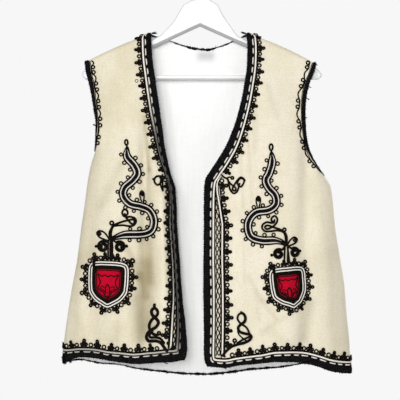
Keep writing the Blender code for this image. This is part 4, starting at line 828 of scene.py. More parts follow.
class Shade:
    """One material: a Principled shader and the nodes that feed it."""

    def __init__(self, name, roughness, **fixed):
        self.mat = bpy.data.materials.new(name)
        self.mat.use_nodes = True
        self.nodes = self.mat.node_tree.nodes
        self.links = self.mat.node_tree.links
        self.main = self.nodes["Principled BSDF"]
        self.main.inputs["Roughness"].default_value = roughness
        for key, value in fixed.items():
            self.main.inputs[key.replace("_", " ")].default_value = value

    def node(self, kind, settings, inputs, output=0):
        """Any node: its settings first, then its sockets by place or name, from values or links."""
        n = self.nodes.new(kind)
        for key, value in settings.items():
            setattr(n, key, value)
        pairs = inputs.items() if isinstance(inputs, dict) else enumerate(inputs)
        for key, value in pairs:
            if isinstance(value, Val):
                self.links.new(value.socket, n.inputs[key])
            else:
                n.inputs[key].default_value = value
        return Val(self, n.outputs[output])

    def place(self):
        """The point's place on the vest."""
        return self.node("ShaderNodeTexCoord", {}, {}, "Object")

    def uv(self):
        """Metres along a cord and the share across it."""
        return self.node("ShaderNodeUVMap", {"uv_map": "along"}, {})

    def stretch(self, vector, scale):
        """A vector with its three numbers multiplied by those of scale."""
        return self.node("ShaderNodeMapping", {}, {"Vector": vector, "Scale": scale})

    def split(self, vector):
        """The three numbers of a vector."""
        outs = self.node("ShaderNodeSeparateXYZ", {}, [vector]).socket.node.outputs
        return [Val(self, socket) for socket in outs]

    def noise(self, vector, scale, detail=2.0, rough=0.5):
        """Cloudy noise around 0.5, scale times per metre."""
        return self.node("ShaderNodeTexNoise", {}, {"Vector": vector, "Scale": scale, "Detail": detail,
                                                    "Roughness": rough})

    def ramp(self, value, low, high):
        """0 below low, 1 above high, smooth between."""
        return self.node("ShaderNodeMapRange", {"interpolation_type": "SMOOTHSTEP"},
                         {"Value": value, "From Min": low, "From Max": high})

    def mix(self, part, a, b):
        """Colour a where part is 0 and b where it is 1."""
        return self.node("ShaderNodeMix", {"data_type": "RGBA"}, {0: part, 6: a, 7: b}, 2)

    def tinted_by_stain_and_shade(self, colour, stain_and_shade_colour):
        """Colour turned towards its product with a darker colour by the piece's own shade attribute, which
        holds real dirt and painted shade alike.
        """
        shade = self.node("ShaderNodeAttribute", {"attribute_name": "shade"}, {}, "Fac")
        return self.node("ShaderNodeMix", {"data_type": "RGBA", "blend_type": "MULTIPLY"},
                         {0: shade, 6: colour, 7: stain_and_shade_colour}, 2)

    def finish(self, colour, height=None, distance=0.0002, strength=1.0, roughness=None):
        """The material, with its colour, roughness and bump linked to the shader."""
        self.links.new(colour.socket, self.main.inputs["Base Color"])
        if roughness is not None:
            self.links.new(roughness.socket, self.main.inputs["Roughness"])
        if height is not None:
            bump = self.node("ShaderNodeBump", {}, {"Height": height, "Distance": distance,
                                                    "Strength": strength})
            self.links.new(bump.socket, self.main.inputs["Normal"])
        return self.mat


def rgb(r, g, b):
    """Screen colour from 0 to 255 as the shader's linear colour."""
    c = np.array([r, g, b]) / 255.0
    c = np.where(c <= 0.04045, c / 12.92, ((c + 0.055) / 1.055) ** 2.4)
    return (float(c[0]), float(c[1]), float(c[2]), 1.0)


def felt(name, light, mid, dark, sheen=0.12):
    """Milled wool cloth: cloudy tone over hand widths, fine threads both ways from two drawn-out
    noises, a fuzzy skin, and the piece's own shade attribute turning it brownish grey: real dirt in some
    places, painted shade and painted highlight in others."""
    s = Shade(name, 0.95, Sheen_Weight=sheen, Sheen_Roughness=0.6, Specular_IOR_Level=0.15)
    o = s.place()
    cloud = s.noise(o, 9.0, 3.0, 0.55)
    patch = s.noise(s.stretch(o, (34.0, 34.0, 15.0)), 1.0, 3.0, 0.6)
    warp = s.noise(s.stretch(o, (620.0, 620.0, 42.0)), 1.0, 2.0, 0.6)
    weft = s.noise(s.stretch(o, (42.0, 42.0, 620.0)), 1.0, 2.0, 0.6)
    fuzz = s.noise(o, 1500.0, 2.0, 0.6)
    tone = s.mix(s.ramp(cloud * 0.6 + patch * 0.4, 0.36, 0.62), mid, light)
    thread = warp * 0.5 + weft * 0.5
    speck = s.noise(o, 430.0, 2.0, 0.6)
    tone = s.mix(s.ramp(thread, 0.42, 0.66) * 0.14 + s.ramp(speck, 0.4, 0.68) * 0.26, tone, dark)
    # the shade attribute: real dirt, and painted shade in folds, creases and over the right front
    tone = s.tinted_by_stain_and_shade(tone, (0.49, 0.45, 0.36, 1.0))
    return s.finish(tone, thread * 0.3 + fuzz * 0.5 + speck * 0.3, 0.0005, 0.5)


def cotton(name, light, dark):
    """Plain weave: the height is sin x sin z, so that the two thread ways take turns to be on top,
    0.7 mm between threads, over slightly uneven yarn and a soft crumple."""
    s = Shade(name, 0.9, Specular_IOR_Level=0.2)
    o = s.place()
    x, _, z = s.split(s.stretch(o, (4488.0, 1.0, 4488.0)))
    weave = x.math("SINE") * z.math("SINE") * 0.5 + 0.5
    slub = s.noise(s.stretch(o, (50.0, 50.0, 700.0)), 1.0, 2.0, 0.6)
    lines = s.noise(s.stretch(o, (500.0, 500.0, 9.0)), 1.0, 2.0, 0.6)
    crumple = s.noise(s.stretch(o, (26.0, 26.0, 10.0)), 1.0, 3.0, 0.55)
    tone = s.mix(s.ramp(slub, 0.35, 0.7) * 0.3 + s.ramp(lines, 0.4, 0.7) * 0.4, light, dark)
    tone = s.tinted_by_stain_and_shade(tone, (0.55, 0.55, 0.56, 1.0))
    return s.finish(tone, weave * 0.25 + slub * 0.1 + lines * 0.2 + crumple * 2.0, 0.0008, 0.5)


def braid(name, dark, light, pitch, rough, amount, gloss=0.12, glint_flecks=0.0):
    """Wool braid: fine slanted threads from a sine of (length along + distance from the middle), a
    fuzz and light specks (painted highlights); pitch is threads per metre and amount how much of the
    light tone shows; the shade attribute greys the cord with painted shade."""
    s = Shade(name, rough, Specular_IOR_Level=gloss)
    u, v, _ = s.split(s.uv())
    thread = (u * pitch * TAU + (v - 0.5).math("ABSOLUTE") * 12.0).math("SINE") * 0.5 + 0.5
    fuzz = s.noise(s.place(), 1400.0, 3.0, 0.65)
    worn = s.noise(s.place(), 45.0, 3.0, 0.6)
    tone = s.mix(s.ramp(thread * 0.5 + fuzz * 0.6 + worn * 0.3, 0.5, 1.15) * amount, dark, light)
    # light specks on the black plait: painted highlights
    glint_noise = s.noise(s.place(), 480.0, 2.0, 0.6)
    tone = s.mix(s.ramp(glint_noise, 0.58, 0.7) * glint_flecks, tone, light)
    # painted shade: the shade attribute greys the cord where the right front's edge rolls from the light
    tone = s.tinted_by_stain_and_shade(tone, (0.1, 0.1, 0.105, 1.0))
    return s.finish(tone, thread * 0.6 + fuzz * 0.6, 0.0004, 0.8)


def plastic(name, light, dark, under):
    """Moulded plastic: almost even, with faint handling scuffs in the gloss, and painted shade:
    greyed where it looks down, on its upper part only."""
    s = Shade(name, 0.35)
    o = s.place()
    scuff = s.noise(s.stretch(o, (120.0, 300.0, 500.0)), 1.0, 4.0, 0.7)
    cloud = s.noise(o, 14.0, 2.0, 0.5)
    grain = s.noise(o, 700.0, 2.0, 0.5)
    tone = s.mix(s.ramp(cloud, 0.3, 0.7), light, dark)
    _, _, up = s.split(s.node("ShaderNodeTexCoord", {}, {}, "Normal"))
    _, _, height = s.split(o)
    # painted shade on the downward faces of the hanger's upper part, above its bar
    tone = s.mix(s.ramp(up * -1.0, 0.1, 0.45) * s.ramp(height, -0.18, -0.16), tone, under)
    return s.finish(tone, grain, 0.00006, 0.3, s.ramp(scuff, 0.3, 0.8) * 0.25 + 0.28)


CREAM = felt("cream_felt_cloth", rgb(240, 232, 212), rgb(232, 223, 199), rgb(200, 188, 161))
# the right front's felt: a darker, yellower copy of the cream felt, painted shade for the dimmer light on
# that side
CREAM_SHADED = felt("shaded_felt_cloth_right", rgb(240, 233, 211), rgb(229, 220, 194), rgb(194, 182, 150))
COTTON = cotton("white_cotton_lining", rgb(250, 250, 249), rgb(240, 240, 238))
# the black plait's grey tone on its threads and its light specks are painted highlights
BLACK = braid("black_plait", rgb(1, 1, 2), rgb(66, 64, 67), 620.0, 0.95, 0.3, 0.03, 0.5)
SOUTACHE = braid("black_soutache", rgb(6, 5, 4), rgb(72, 63, 54), 800.0, 0.9, 0.28, 0.04)
WHITE_CORD = braid("cream_wool_cord", rgb(248, 243, 234), rgb(218, 206, 188), 700.0, 0.9, 0.6)
RED = felt("red_felt_inlay", rgb(198, 0, 42), rgb(172, 0, 35), rgb(104, 0, 20), 0.0)
PLASTIC = plastic("moulded_white_plastic", rgb(234, 234, 234), rgb(228, 228, 229), rgb(168, 168, 166))
FINISH = {"black_binding": BLACK, "black_cord": SOUTACHE, "cream_cord": WHITE_CORD, "red_felt": RED}

# edges by piece, filled by make_edges; the back's armholes have negative keys, its neck is a front
ARMS = {}
FRONTS = {}
HEMS = {}


def offset(path, away):
    """A path moved sideways, to the left of its way, in the view from the front."""
    pad = np.vstack([path[:1] * 2 - path[3:0:-1], path, path[-1:] * 2 - path[-2:-5:-1]])
    t = unit(pad[6:] - pad[:-6])
    away = np.broadcast_to(np.asarray(away, float), (len(path),))[:, None]
    return path + np.stack([-t[:, 1], t[:, 0]], 1) * away


def join(a, b):
    """Two lines joined where they pass nearest to each other: a up to there, then b from there."""
    gap = np.linalg.norm(a[:, None] - b[None], axis=2)
    i, j = np.unravel_index(gap.argmin(), gap.shape)
    return np.vstack([a[:i], b[j + 1:]])


def lengths(piece, path):
    """Length along a path on the cloth at each of its points."""
    return run_length(skin(piece, path[:, 0], path[:, 1])[0])


def part_of(path, s, a, b, step):
    """The part of a path between two lengths, sampled evenly; s is the length at its points."""
    k = np.linspace(a, b, max(int((b - a) / step), 2) + 1)
    return np.stack([np.interp(k, s, path[:, i]) for i in range(2)], 1)


def cord_rings(work, piece, centres, radius, width, lift):
    """Small closed rings of cord laid flat, all at once: a circle round every centre, the cord's
    section carried round it."""
    centres = np.atleast_2d(np.asarray(centres, float))
    count, k = len(centres), len(CORD)
    size = np.broadcast_to(np.asarray(radius, float), (count,))[:, None]
    turn = np.linspace(0, TAU, RING_SIDES, endpoint=False)
    p, n = skin(piece, centres[:, :1] + size * np.cos(turn), centres[:, 1:] + size * np.sin(turn), lift)
    t = unit(np.roll(p, -1, axis=1) - np.roll(p, 1, axis=1))
    s = unit(np.cross(n, t))
    points = p[:, :, None] + s[:, :, None] * (CORD[:, :1] * width) + n[:, :, None] * (CORD[:, 1:] * width)
    i = np.arange(RING_SIDES * k).reshape(RING_SIDES, k)
    j = np.roll(i, -1, axis=1)
    one = np.stack([i, j, np.roll(j, -1, axis=0), np.roll(i, -1, axis=0)], -1).reshape(-1, 4)
    faces = (one[None] + (np.arange(count) * RING_SIDES * k)[:, None, None]).reshape(-1, 4)
    along = np.broadcast_to((turn * RING_RADIUS * MM)[None, :, None], (count, RING_SIDES, k))
    share = np.broadcast_to(np.linspace(0, 1, k)[None, None], (count, RING_SIDES, k))
    work.add(points.reshape(-1, 3), [faces], np.stack([along.ravel(), share.ravel()], 1))


# ------------------------------------------------------------------ cloth
def rows_down(count):
    """Row places from 0 at the shoulder to 1 at the hem: close together over the ridge."""
    ridge = 0.034 * (1 - np.cos(np.linspace(0, np.pi / 2, 12)))
    return np.concatenate([ridge, np.linspace(ridge[-1], 1, count)[1:]])


def armhole_part(z, tip, underarm):
    """1 along the armhole, falling to 0 at the underarm."""
    return np.clip((z - underarm) / (0.3 * (tip - underarm)), 0, 1)


def front_grid(piece, rows, cols):
    """Places of one front's grid: rows interpolate between the front edge and the side at the same
    share of their height, and the hem's sag is added in proportion to that share."""
    away = AWAY[piece]
    zi = np.array([INNER[piece][0][0], INNER[piece][-1][0]], float)
    zo = np.array([OUTER[piece][0][0], OUTER[piece][-1][0]], float)
    zi[0] = ridge_height(np.array(INNER[piece][0][1] + away * LIP_REACH))
    zo[0] = ridge_height(np.array(OUTER[piece][0][1] - away * LIP_REACH))
    v = rows_down(rows)[:, None]
    t = np.linspace(0, 1, cols)
    u = 0.65 * (0.5 - 0.5 * np.cos(np.pi * t)) + 0.35 * t
    zin = zi[0] + (zi[1] - zi[0]) * v
    zout = zo[0] + (zo[1] - zo[0]) * v
    xin = read(INNER[piece], zin) + away * LIP_REACH
    xout = read(OUTER[piece], zout) - away * LIP_REACH * armhole_part(zout, zo[0], UNDERARM[piece])
    foot = xin[-1] + (xout[-1] - xin[-1]) * u
    sag = LIP_REACH + read(HEM[piece], foot) - (zin[-1] + (zout[-1] - zin[-1]) * u)
    x = xin * (1 - u) + xout * u
    arch = ridge_height(x[0]) - (zin[0] + (zout[0] - zin[0]) * u)
    return x, zin * (1 - u) + zout * u + v * sag[None] + (1 - v) * arch[None]


def back_edges(v):
    """Side places of the back: the armhole edges lie inside the fronts' by a half sine."""
    out = []
    for piece in (RIGHT, LEFT):
        away = AWAY[piece]
        top = ridge_height(np.array(OUTER[piece][0][1] - away * LIP_REACH))
        z = top + (OUTER[piece][-1][0] - top) * v
        tuck = BACK_TUCK * np.sin(np.pi * np.clip((top - z) / (top - UNDERARM[piece]), 0, 1))
        x = read(OUTER[piece], z) - away * (tuck + LIP_REACH * armhole_part(z, top, UNDERARM[piece]))
        out.append((x, z))
    return out


def neck_table():
    """The back neck's line, one lip below its binding, meeting the shoulder line at both ends."""
    a = SHOULDER[RIGHT][0][0] - LIP_REACH
    b = SHOULDER[LEFT][0][0] + LIP_REACH
    rows = [(x, z - LIP_REACH) for x, z in BACK_NECK]
    return [(a, float(ridge_height(np.array(a))))] + rows + [(b, float(ridge_height(np.array(b))))]


def back_grid(rows, cols):
    """Places of the back's grid: rows run from side to side, with the neck's dip fading down the
    piece and the hem's sag growing down it."""
    v = rows_down(rows)[:, None]
    (xl, zl), (xr, zr) = back_edges(v)
    t = np.linspace(0, 1, cols)
    u = 0.5 + 0.5 * np.sign(t - 0.5) * (1 - (1 - np.abs(2 * t - 1)) ** 1.5)
    neck = neck_table()
    top_x = xl[0] + (xr[0] - xl[0]) * u
    inside = (top_x > neck[0][0]) & (top_x < neck[-1][0])
    top = np.where(inside, read(neck, top_x), ridge_height(top_x)) - (zl[0] + (zr[0] - zl[0]) * u)
    low_x = HEM[BACK][0][0] + (HEM[BACK][-1][0] - HEM[BACK][0][0]) * u
    straight = HEM[BACK][0][1] + (HEM[BACK][-1][1] - HEM[BACK][0][1]) * u
    low = LIP_REACH + read(HEM[BACK], low_x) - straight
    return xl * (1 - u) + xr * u, zl * (1 - u) + zr * u + (1 - v) * top[None] + v * low[None]


def shell(name, slot, piece, x, z, outer, inner, materials, node, stain_and_shade_piece):
    """A closed wall between two faces at fixed heights over the cloth's face, with its darkening from the
    stroke table, real dirt and painted shade, in the shade attribute: the grid's quads face along the
    normals, their mirror images close the inside, and a strip of quads runs round the rim."""
    work = Work()
    p, n = skin(piece, x, z)
    r, c = x.shape
    face = (p + n * outer).reshape(-1, 3)
    behind = (p + n * inner).reshape(-1, 3)
    faces = grid_faces(r, c)
    i = np.arange(r * c).reshape(r, c)
    ring = np.concatenate([i[0, :-1], i[:-1, -1], i[-1, :0:-1], i[:0:-1, 0]])
    nxt = np.roll(ring, -1)
    side = np.stack([ring, nxt, nxt + r * c, ring + r * c], 1)
    v1, v2, v3 = (face[faces[:, k]] for k in range(3))
    if (np.cross(v2 - v1, v3 - v1) * n.reshape(-1, 3)[faces[:, 0]]).sum() > 0:
        side = side[:, ::-1]
    else:
        faces = faces[:, ::-1]
    work.points = [face, behind]
    work.uv = [np.stack([x.ravel(), z.ravel()], 1) * MM] * 2
    work.faces = [faces, faces[:, ::-1] + r * c, side]
    work.kinds = [np.zeros(len(faces)), np.full(len(faces), len(materials) - 1), np.zeros(len(side))]
    work.flat = [np.zeros(len(faces), bool), np.zeros(len(faces), bool), np.ones(len(side), bool)]
    # shade attribute from the stroke table: real dirt, painted shade and painted highlight
    work.shade = [stains_and_shade_at(stain_and_shade_piece, x, z).ravel()] * 2
    return piece_of(work, name, slot, [node], materials)


def make_cloth():
    """The two fronts, the back and its lining."""
    out = {}
    for piece, side in SIDES:
        x, z = front_grid(piece, *FRONT_GRID)
        # the right front's darker felt is painted shade
        face = CREAM if piece == LEFT else CREAM_SHADED
        out[piece] = shell("cloth_front_" + side, "cream_felt", piece, x, z, 0.0, -CLOTH_WALL,
                           [face, COTTON], "front_" + side, piece)
    x, z = back_grid(*BACK_GRID)
    out[BACK] = shell("cloth_back", "cream_felt", BACK, x, z, 0.0, -CLOTH_WALL, [CREAM], "back", BACK)
    under = CLOTH_WALL + SEAM_GAP
    out[LINING] = shell("cloth_back_lining", "white_cotton", BACK, x, z, -under, -under - LINING_WALL,
                        [COTTON], "back_lining", LINING)
    return out


def make_edges():
    """The edges that bindings and borders follow, drawn in by one lip from the sizes above; on the
    hems inwards is straight up."""
    for piece, away in AWAY.items():
        top = float(ridge_height(np.array(INNER[piece][0][1] + away * LIP_REACH)))
        z = np.linspace(top - 0.05, INNER[piece][-1][0], 600)
        FRONTS[piece] = Edge(piece, np.stack([read(INNER[piece], z) + away * LIP_REACH, z], 1),
                             (away * INSIDE_ACROSS, INSIDE_LOW))
        x = np.linspace(INNER[piece][-1][1] + away * LIP_REACH, OUTER[piece][-1][1] - away * 0.3, 300)
        HEMS[piece] = Edge(piece, np.stack([x, read(HEM[piece], x) + LIP_REACH], 1),
                           (away * INSIDE_ACROSS, INSIDE_LOW))
        tip = float(ridge_height(np.array(OUTER[piece][0][1] - away * LIP_REACH)))
        z = np.linspace(tip - 0.05, UNDERARM[piece], 300)
        x = read(OUTER[piece], z) - away * LIP_REACH * armhole_part(z, tip, UNDERARM[piece])
        ARMS[piece] = Edge(piece, np.stack([x, z], 1), (away * INSIDE_ACROSS, INSIDE_HIGH))
        tuck = BACK_TUCK * np.sin(np.pi * np.clip((tip - z) / (tip - UNDERARM[piece]), 0, 1))
        ARMS[-piece] = Edge(BACK, np.stack([x - away * tuck, z], 1), (away * INSIDE_ACROSS, INSIDE_HIGH))
    x = np.linspace(HEM[BACK][0][0] + 0.4, HEM[BACK][-1][0] - 0.4, 600)
    HEMS[BACK] = Edge(BACK, np.stack([x, read(HEM[BACK], x) + LIP_REACH], 1), (0, INSIDE_LOW))
    for edge in HEMS.values():
        edge.way = np.broadcast_to([0.0, 1.0], edge.way.shape)
    neck = neck_table()
    x = np.linspace(neck[0][0] + 0.2, neck[-1][0] - 0.2, 300)
    FRONTS[BACK] = Edge(BACK, np.stack([x, read(neck, x)], 1), (0, INSIDE_HIGH))


def band(kind, where, edge, starts, stops, face, **how):
    """One plaited band on an edge, from starts after its beginning to stops past its end, in place
    of its solid."""
    w = Work()
    binding(w, edge, starts, edge.length + stops, face, **how)
    piece_of(w, "binding_" + kind + where, "black_binding", [kind + "_binding" + where])


def make_bindings():
    """The plaited bands on every raw edge."""
    for (piece, side), seed in zip(SIDES, (1.0, 2.4)):
        front, hem, arm = FRONTS[piece], HEMS[piece], ARMS[piece]
        band("edge", "_" + side, front, 1.0, 1.2, FRONT_BAND, seed=seed,
             shift=lambda a: 0.4 + front_shift(piece, front.height(a)))
        band("hem", "_" + side, hem, 0.5, -0.5, HEM_BAND, seed=seed + 3,
             shift=lambda a: read(SWELL[piece], hem.across(a)))
        band("armhole", "_front_" + side, arm, 0.5, -1.0, ARM_BAND, seed=seed + 5, columns=3,
             reach=LIP_REACH if piece == LEFT else 0.9, fullness=[(0, 1), (0.6, 1), (0.8, 0.85), (1, 0.5)],
             shift=lambda a: read(ARM_WIDTH[piece], a / arm.length))
        band("armhole", "_back_" + side, ARMS[-piece], 0.5, -1.0, ARM_BAND, wall=BACK_WALL, seed=seed + 7,
             columns=3)
    band("hem", "_back", HEMS[BACK], 0.5, -0.5, HEM_BAND, wall=BACK_WALL, seed=4.4, hairs=5.0, rough=0.5,
         fullness=[(0, 0.5), (0.12, 0.6), (0.2, 0.35), (0.3, 0.8), (0.5, 1), (0.7, 0.9), (0.85, 0.5),
                   (1, 0.5)])
    band("neck", "", FRONTS[BACK], 2.0, -2.0, NECK_BAND, wall=BACK_WALL, seed=6.1, hairs=4.0, rough=0.5,
         fullness=[(0, 0.2), (0.2, 0.3), (0.32, 0.55), (0.42, 1), (0.58, 0.9), (0.68, 0.6), (0.8, 0.45),
                   (1, 0.2)])


# ------------------------------------------------------------------ laid cord
def wide(work, piece, path, width, height):
    """A flat plaited braid of two columns laid along a path: a low crown across, the root of
    1 - (2 q)^4 for q from -0.5 to 0.5, with the plait's height on it."""
    columns = 2
    p, n = skin(piece, path[:, 0], path[:, 1], LAID)
    t = unit(np.gradient(p, axis=0))
    s = unit(np.cross(n, t))
    a = run_length(p)
    q = np.linspace(0.5, -0.5, 4 * columns + 1)
    size = np.broadcast_to(np.asarray(width, float), (len(p),))[:, None]
    crown = np.sqrt(np.clip(1 - (2 * q) ** 4, 0.02, 1))[None]
    stitches = plait(a[:, None], (0.5 - q)[None], PLAIT_PITCH, columns)
    up = height * crown + PLAIT_RELIEF * (stitches - 0.4) * crown
    top = p[:, None] + s[:, None] * (q[None] * size)[..., None] + n[:, None] * up[..., None]
    foot = p[:, None] + s[:, None] * (np.array([-0.5, 0.5])[None] * size)[..., None]
    carry(work, np.concatenate([top, foot], axis=1), a)


def front_shift(piece, z):
    """How far a front's border strays inwards at heights."""
    return read(LEAN[piece], z)


def front_line(piece, b, course=None):
    """Line at b inwards along a front's edge, straying as the border does; a course is a table of
    heights and inwards places, read at each height, to which b is added."""
    edge = FRONTS[piece]
    a = np.arange(1.5, edge.length, 1.3)
    z = edge.height(a)
    inwards = b if course is None else b + read(course, z)
    return edge.spot(a, inwards + front_shift(piece, z))


def hem_line(piece, b):
    """Line at b inwards along a hem, straying as its border does."""
    edge = HEMS[piece]
    a = np.arange(0.5, edge.length - 0.4, 1.3)
    return edge.spot(a, b + read(SWELL[piece], edge.across(a)))


def soften(path, reach=2):
    """A path whose corners are rounded: each point is the mean of its neighbours on both sides."""
    pad = np.vstack([np.repeat(path[:1], reach, 0), path, np.repeat(path[-1:], reach, 0)])
    mean = sum(pad[i:i + len(path)] for i in range(2 * reach + 1)) / (2 * reach + 1)
    mean[0], mean[-1] = path[0], path[-1]
    return mean


def round_corner(piece, b_front, b_hem):
    """One border line all the way: down the front, square round the corner, along the hem."""
    return even(soften(join(front_line(piece, b_front), hem_line(piece, b_hem))), 1.4)


def dashes(work, piece, path, width, lit, gap, seed, painted_shade=None):
    """A row of cream stitches with black knots between: each stitch a short flat cord, each knot a
    short thick one, their lengths a little uneven."""
    s = lengths(piece, path)
    start = 2.0
    k = 0
    while start < s[-1] - lit - 1:
        lit_now = lit * (1 + 0.14 * np.sin(seed + 2.4 * k))
        gap_now = gap * (1 + 0.16 * np.sin(1.7 * seed + 3.1 * k))
        stitch = part_of(path, s, start, start + lit_now, 2.2)
        # the stitches take the rolled edge's painted shade, where a table is given
        lay(work, piece, stitch, width, 0.9, kind=1, painted_shade=painted_shade)
        knot = part_of(path, s, start + lit_now - 0.4, start + lit_now + gap_now + 0.4, 1.2)
        lay(work, piece, knot, width * 1.25, 0.8)
        start += lit_now + gap_now
        k += 1


def trefoils(work, base, a0, a1, period, scale=1.0, seed=0.0):
    """The border of rings and trefoils between two lengths of a base line: each trefoil is a cord
    that rises and dips along its length, and before each stands a ring."""
    piece = base.piece
    count = max(int(round((a1 - a0) / period)), 1)
    pitch = (a1 - a0) / count
    k = np.arange(count)
    tre = np.array(TREFOIL) * scale
    at = a0 + (k + TREFOIL_AT) * pitch + 0.5 * np.sin(seed + 2.1 * k)
    ring_at = a0 + (k + RING_AT) * pitch + 0.6 * np.sin(seed + 1.3 * k + 1)
    grow = 1 + 0.07 * np.sin(seed * 1.3 + 1.9 * k)
    lean = 0.5 * np.sin(seed * 0.7 + 2.7 * k)
    for a, g, skew in zip(at, grow, lean):
        along = a + tre[:, 0] * g + skew * tre[:, 1] / TREFOIL_TALL
        pts = smooth_path(np.stack([along, tre[:, 1] * g], 1), 1.15 * scale)
        q = base.spot(pts[:, 0], pts[:, 1])
        lift = 0.45 + 0.75 * np.clip(np.sin(np.linspace(0, 5 * np.pi, len(q))), -0.3, 1)
        lay(work, piece, q, 2.8 * scale, lift)
    q = base.spot(ring_at, (3.5 + 0.25 * np.sin(seed + 3 * k)) * scale)
    radius = 2.6 * scale * (1 + 0.06 * np.sin(seed + 2.2 * k))
    cord_rings(work, piece, q, radius, 2.5 * min(scale, 1.0), 0.5)


def chain(work, piece, path_at, a0, a1, seed=0.0, reach=3.5, wave=46.0):
    """Three thin cords plaited openly: each swings from side to side as a sine a third of a wave
    after the last, and rises where it passes over."""
    a = np.arange(a0, a1, 1.35)
    for k in range(3):
        turn = TAU * (a / wave + k / 3) + 0.5 * np.sin(a / 31 + seed)
        path = path_at(a, reach * np.sin(turn))
        lay(work, piece, path, 1.85, 0.75 + 0.5 * np.cos(2 * turn))


def border_stripes(piece, side, low):
    """The cream stripes: one all the way round, one down the front from below the neck corner."""
    w = Work()
    # on the right front the stripes are greyed where the edge rolls under: painted shade
    lay(w, piece, round_corner(piece, STRIPE_LINE, HEM_STRIPE), 2.9, section=BRAID,
        painted_shade=ROLLED_PAINTED_SHADE if piece == RIGHT else None)
    second = front_line(piece, 0, SECOND_COURSE[piece])
    second = second[(second[:, 1] < CHAIN_TOP + 4) & (second[:, 1] > low)]
    lay(w, piece, even(second, 1.4), 2.7, section=BRAID, painted_shade=SECOND_PAINTED_SHADE if piece == RIGHT else None)
    piece_of(w, "stripes_" + side, "cream_cord", ["edge_cord_" + side, "hem_cord_" + side])


def border_stitches(piece, side, seed):
    """The row of cream stitches between the binding and the first stripe."""
    w = Work()
    path = round_corner(piece, DASH_LINE, HEM_DASH)
    # on the right front the stitches are greyed where the edge rolls under: painted shade
    dashes(w, piece, path, *STITCH[piece], seed, ROLLED_PAINTED_SHADE if piece == RIGHT else None)
    piece_of(w, "stitches_" + side, "cream_cord", materials=[SOUTACHE, WHITE_CORD])


def border_lines(piece, side, low, base_front, base_hem):
    """Black cords on both sides of both stripes, and the line on which the trefoils stand."""
    w = Work()
    for b, h, width in ((STRIPE_LINE - 2.4, HEM_STRIPE - 2.4, 2.0),
                        (STRIPE_LINE + 2.6, HEM_STRIPE + 2.4, 2.1)):
        lay(w, piece, round_corner(piece, b, h), width)
    for b, width in ((-2.4, 1.9), (2.1, 1.6)):
        line = front_line(piece, b, SECOND_COURSE[piece])
        lay(w, piece, line[(line[:, 1] < CHAIN_TOP) & (line[:, 1] > low)], width, 0.4)
    lay(w, piece, base_front, SOUTACHE_WIDE)
    lay(w, piece, base_hem[6:], SOUTACHE_WIDE)
    piece_of(w, "border_lines_" + side, "black_cord")


def border_chain(piece, side, low, seed):
    """The chain between the two stripes, as wide as they leave it room."""
    edge = FRONTS[piece]

    def across(a, b):
        """Places a along the edge and b from the middle of the room."""
        z = edge.height(a)
        second = read(SECOND_COURSE[piece], z)
        mid = (STRIPE_LINE + second) / 2 + 0.5
        room = np.clip((second - STRIPE_LINE - 3) / 10.8, 0.2, 1)
        return edge.spot(a, mid + b * room + front_shift(piece, z))

    w = Work()
    chain(w, piece, across, edge.at_height(CHAIN_TOP - 3), edge.at_height(low + 1), seed)
    piece_of(w, "chain_" + side, "black_cord", ["edge_chain_" + side])


def border_trefoils(piece, side, seed, base_front, base_hem):
    """Trefoils down the neck, down the front and along the hem."""
    w = Work()
    inside = (AWAY[piece] * INSIDE_ACROSS, INSIDE_LOW)
    base = Edge(piece, base_front, inside, 6)
    corner = base.at_height(CHAIN_TOP)
    trefoils(w, base, 3.0, corner - 4, 20.5, seed=seed, scale=1.06)
    trefoils(w, base, corner + 5, base.length - 16, MOTIF, seed=seed + 1, scale=1.15)
    base = Edge(piece, base_hem, inside, 6)
    start = base.s[np.argmin(np.abs(base.line[:, 0] - (49 if piece == LEFT else -69)))]
    trefoils(w, base, start, base.length - 4.5, 21.8 if piece == LEFT else 23.4, seed=seed + 2, scale=1.18)
    piece_of(w, "trefoils_" + side, "black_cord")


def make_borders():
    """Stripes, stitches, chain and trefoils round both fronts; low is where the front's lines end."""
    for (piece, side), seed in zip(SIDES, (0.6, 2.2)):
        base_hem = hem_line(piece, HEM_BASE)
        low = base_hem[:20, 1].mean()
        base_front = front_line(piece, 0, BASE_COURSE[piece])
        base_front = base_front[base_front[:, 1] > low]
        border_stripes(piece, side, low)
        border_stitches(piece, side, seed)
        border_lines(piece, side, low, base_front, base_hem)
        border_chain(piece, side, low, seed)
        border_trefoils(piece, side, seed, base_front, base_hem)


def make_armholes():
    """Cords beside the armhole bindings: a thin line, and a looser cord with ring pairs; between two
    pairs the looser cord swings inwards as half a sine."""
    for key, name in ((LEFT, "left"), (RIGHT, "right"), (-LEFT, "back_left"), (-RIGHT, "back_right")):
        edge = ARMS[key]
        side = abs(key)
        first, pitch = ARM_RINGS[side]
        w = Work()
        a = np.arange(3.0, edge.length - 1.5, 1.3)
        inner = ARM_LINE + 0.25 * wobble(a, 1.0, 60)
        if key > 0:
            inner = inner + read(ARM_WIDTH[side], a / edge.length)
        lay(w, edge.piece, edge.spot(a, inner), 1.3, 0.3)
        a = np.arange(4.0, edge.length - 9, 1.2)
        part = (a - first) % pitch
        turn = np.pi * np.clip(part - ARM_PAIR, 0, pitch) / (pitch - ARM_PAIR)
        wave = np.where(part > ARM_PAIR, np.sin(turn) ** 1.3, 0.0)
        fade = np.clip((edge.length - 30 - a) / 30, 0.25, 1)
        course = read(ARM_COURSE[side], a / edge.length)
        lay(w, edge.piece, edge.spot(a, ARM_CORD + ARM_SWING * wave * fade + course), 2.5, 0.3)
        at = np.arange(first, edge.length - 12, pitch)
        at = np.concatenate([at, at + ARM_RING_GAP])
        spots = edge.spot(at, ARM_RING + read(ARM_COURSE[side], at / edge.length))
        cord_rings(w, edge.piece, spots, 2.8, 2.6, 0.45)
        piece_of(w, "armhole_cord_" + name, "black_cord")


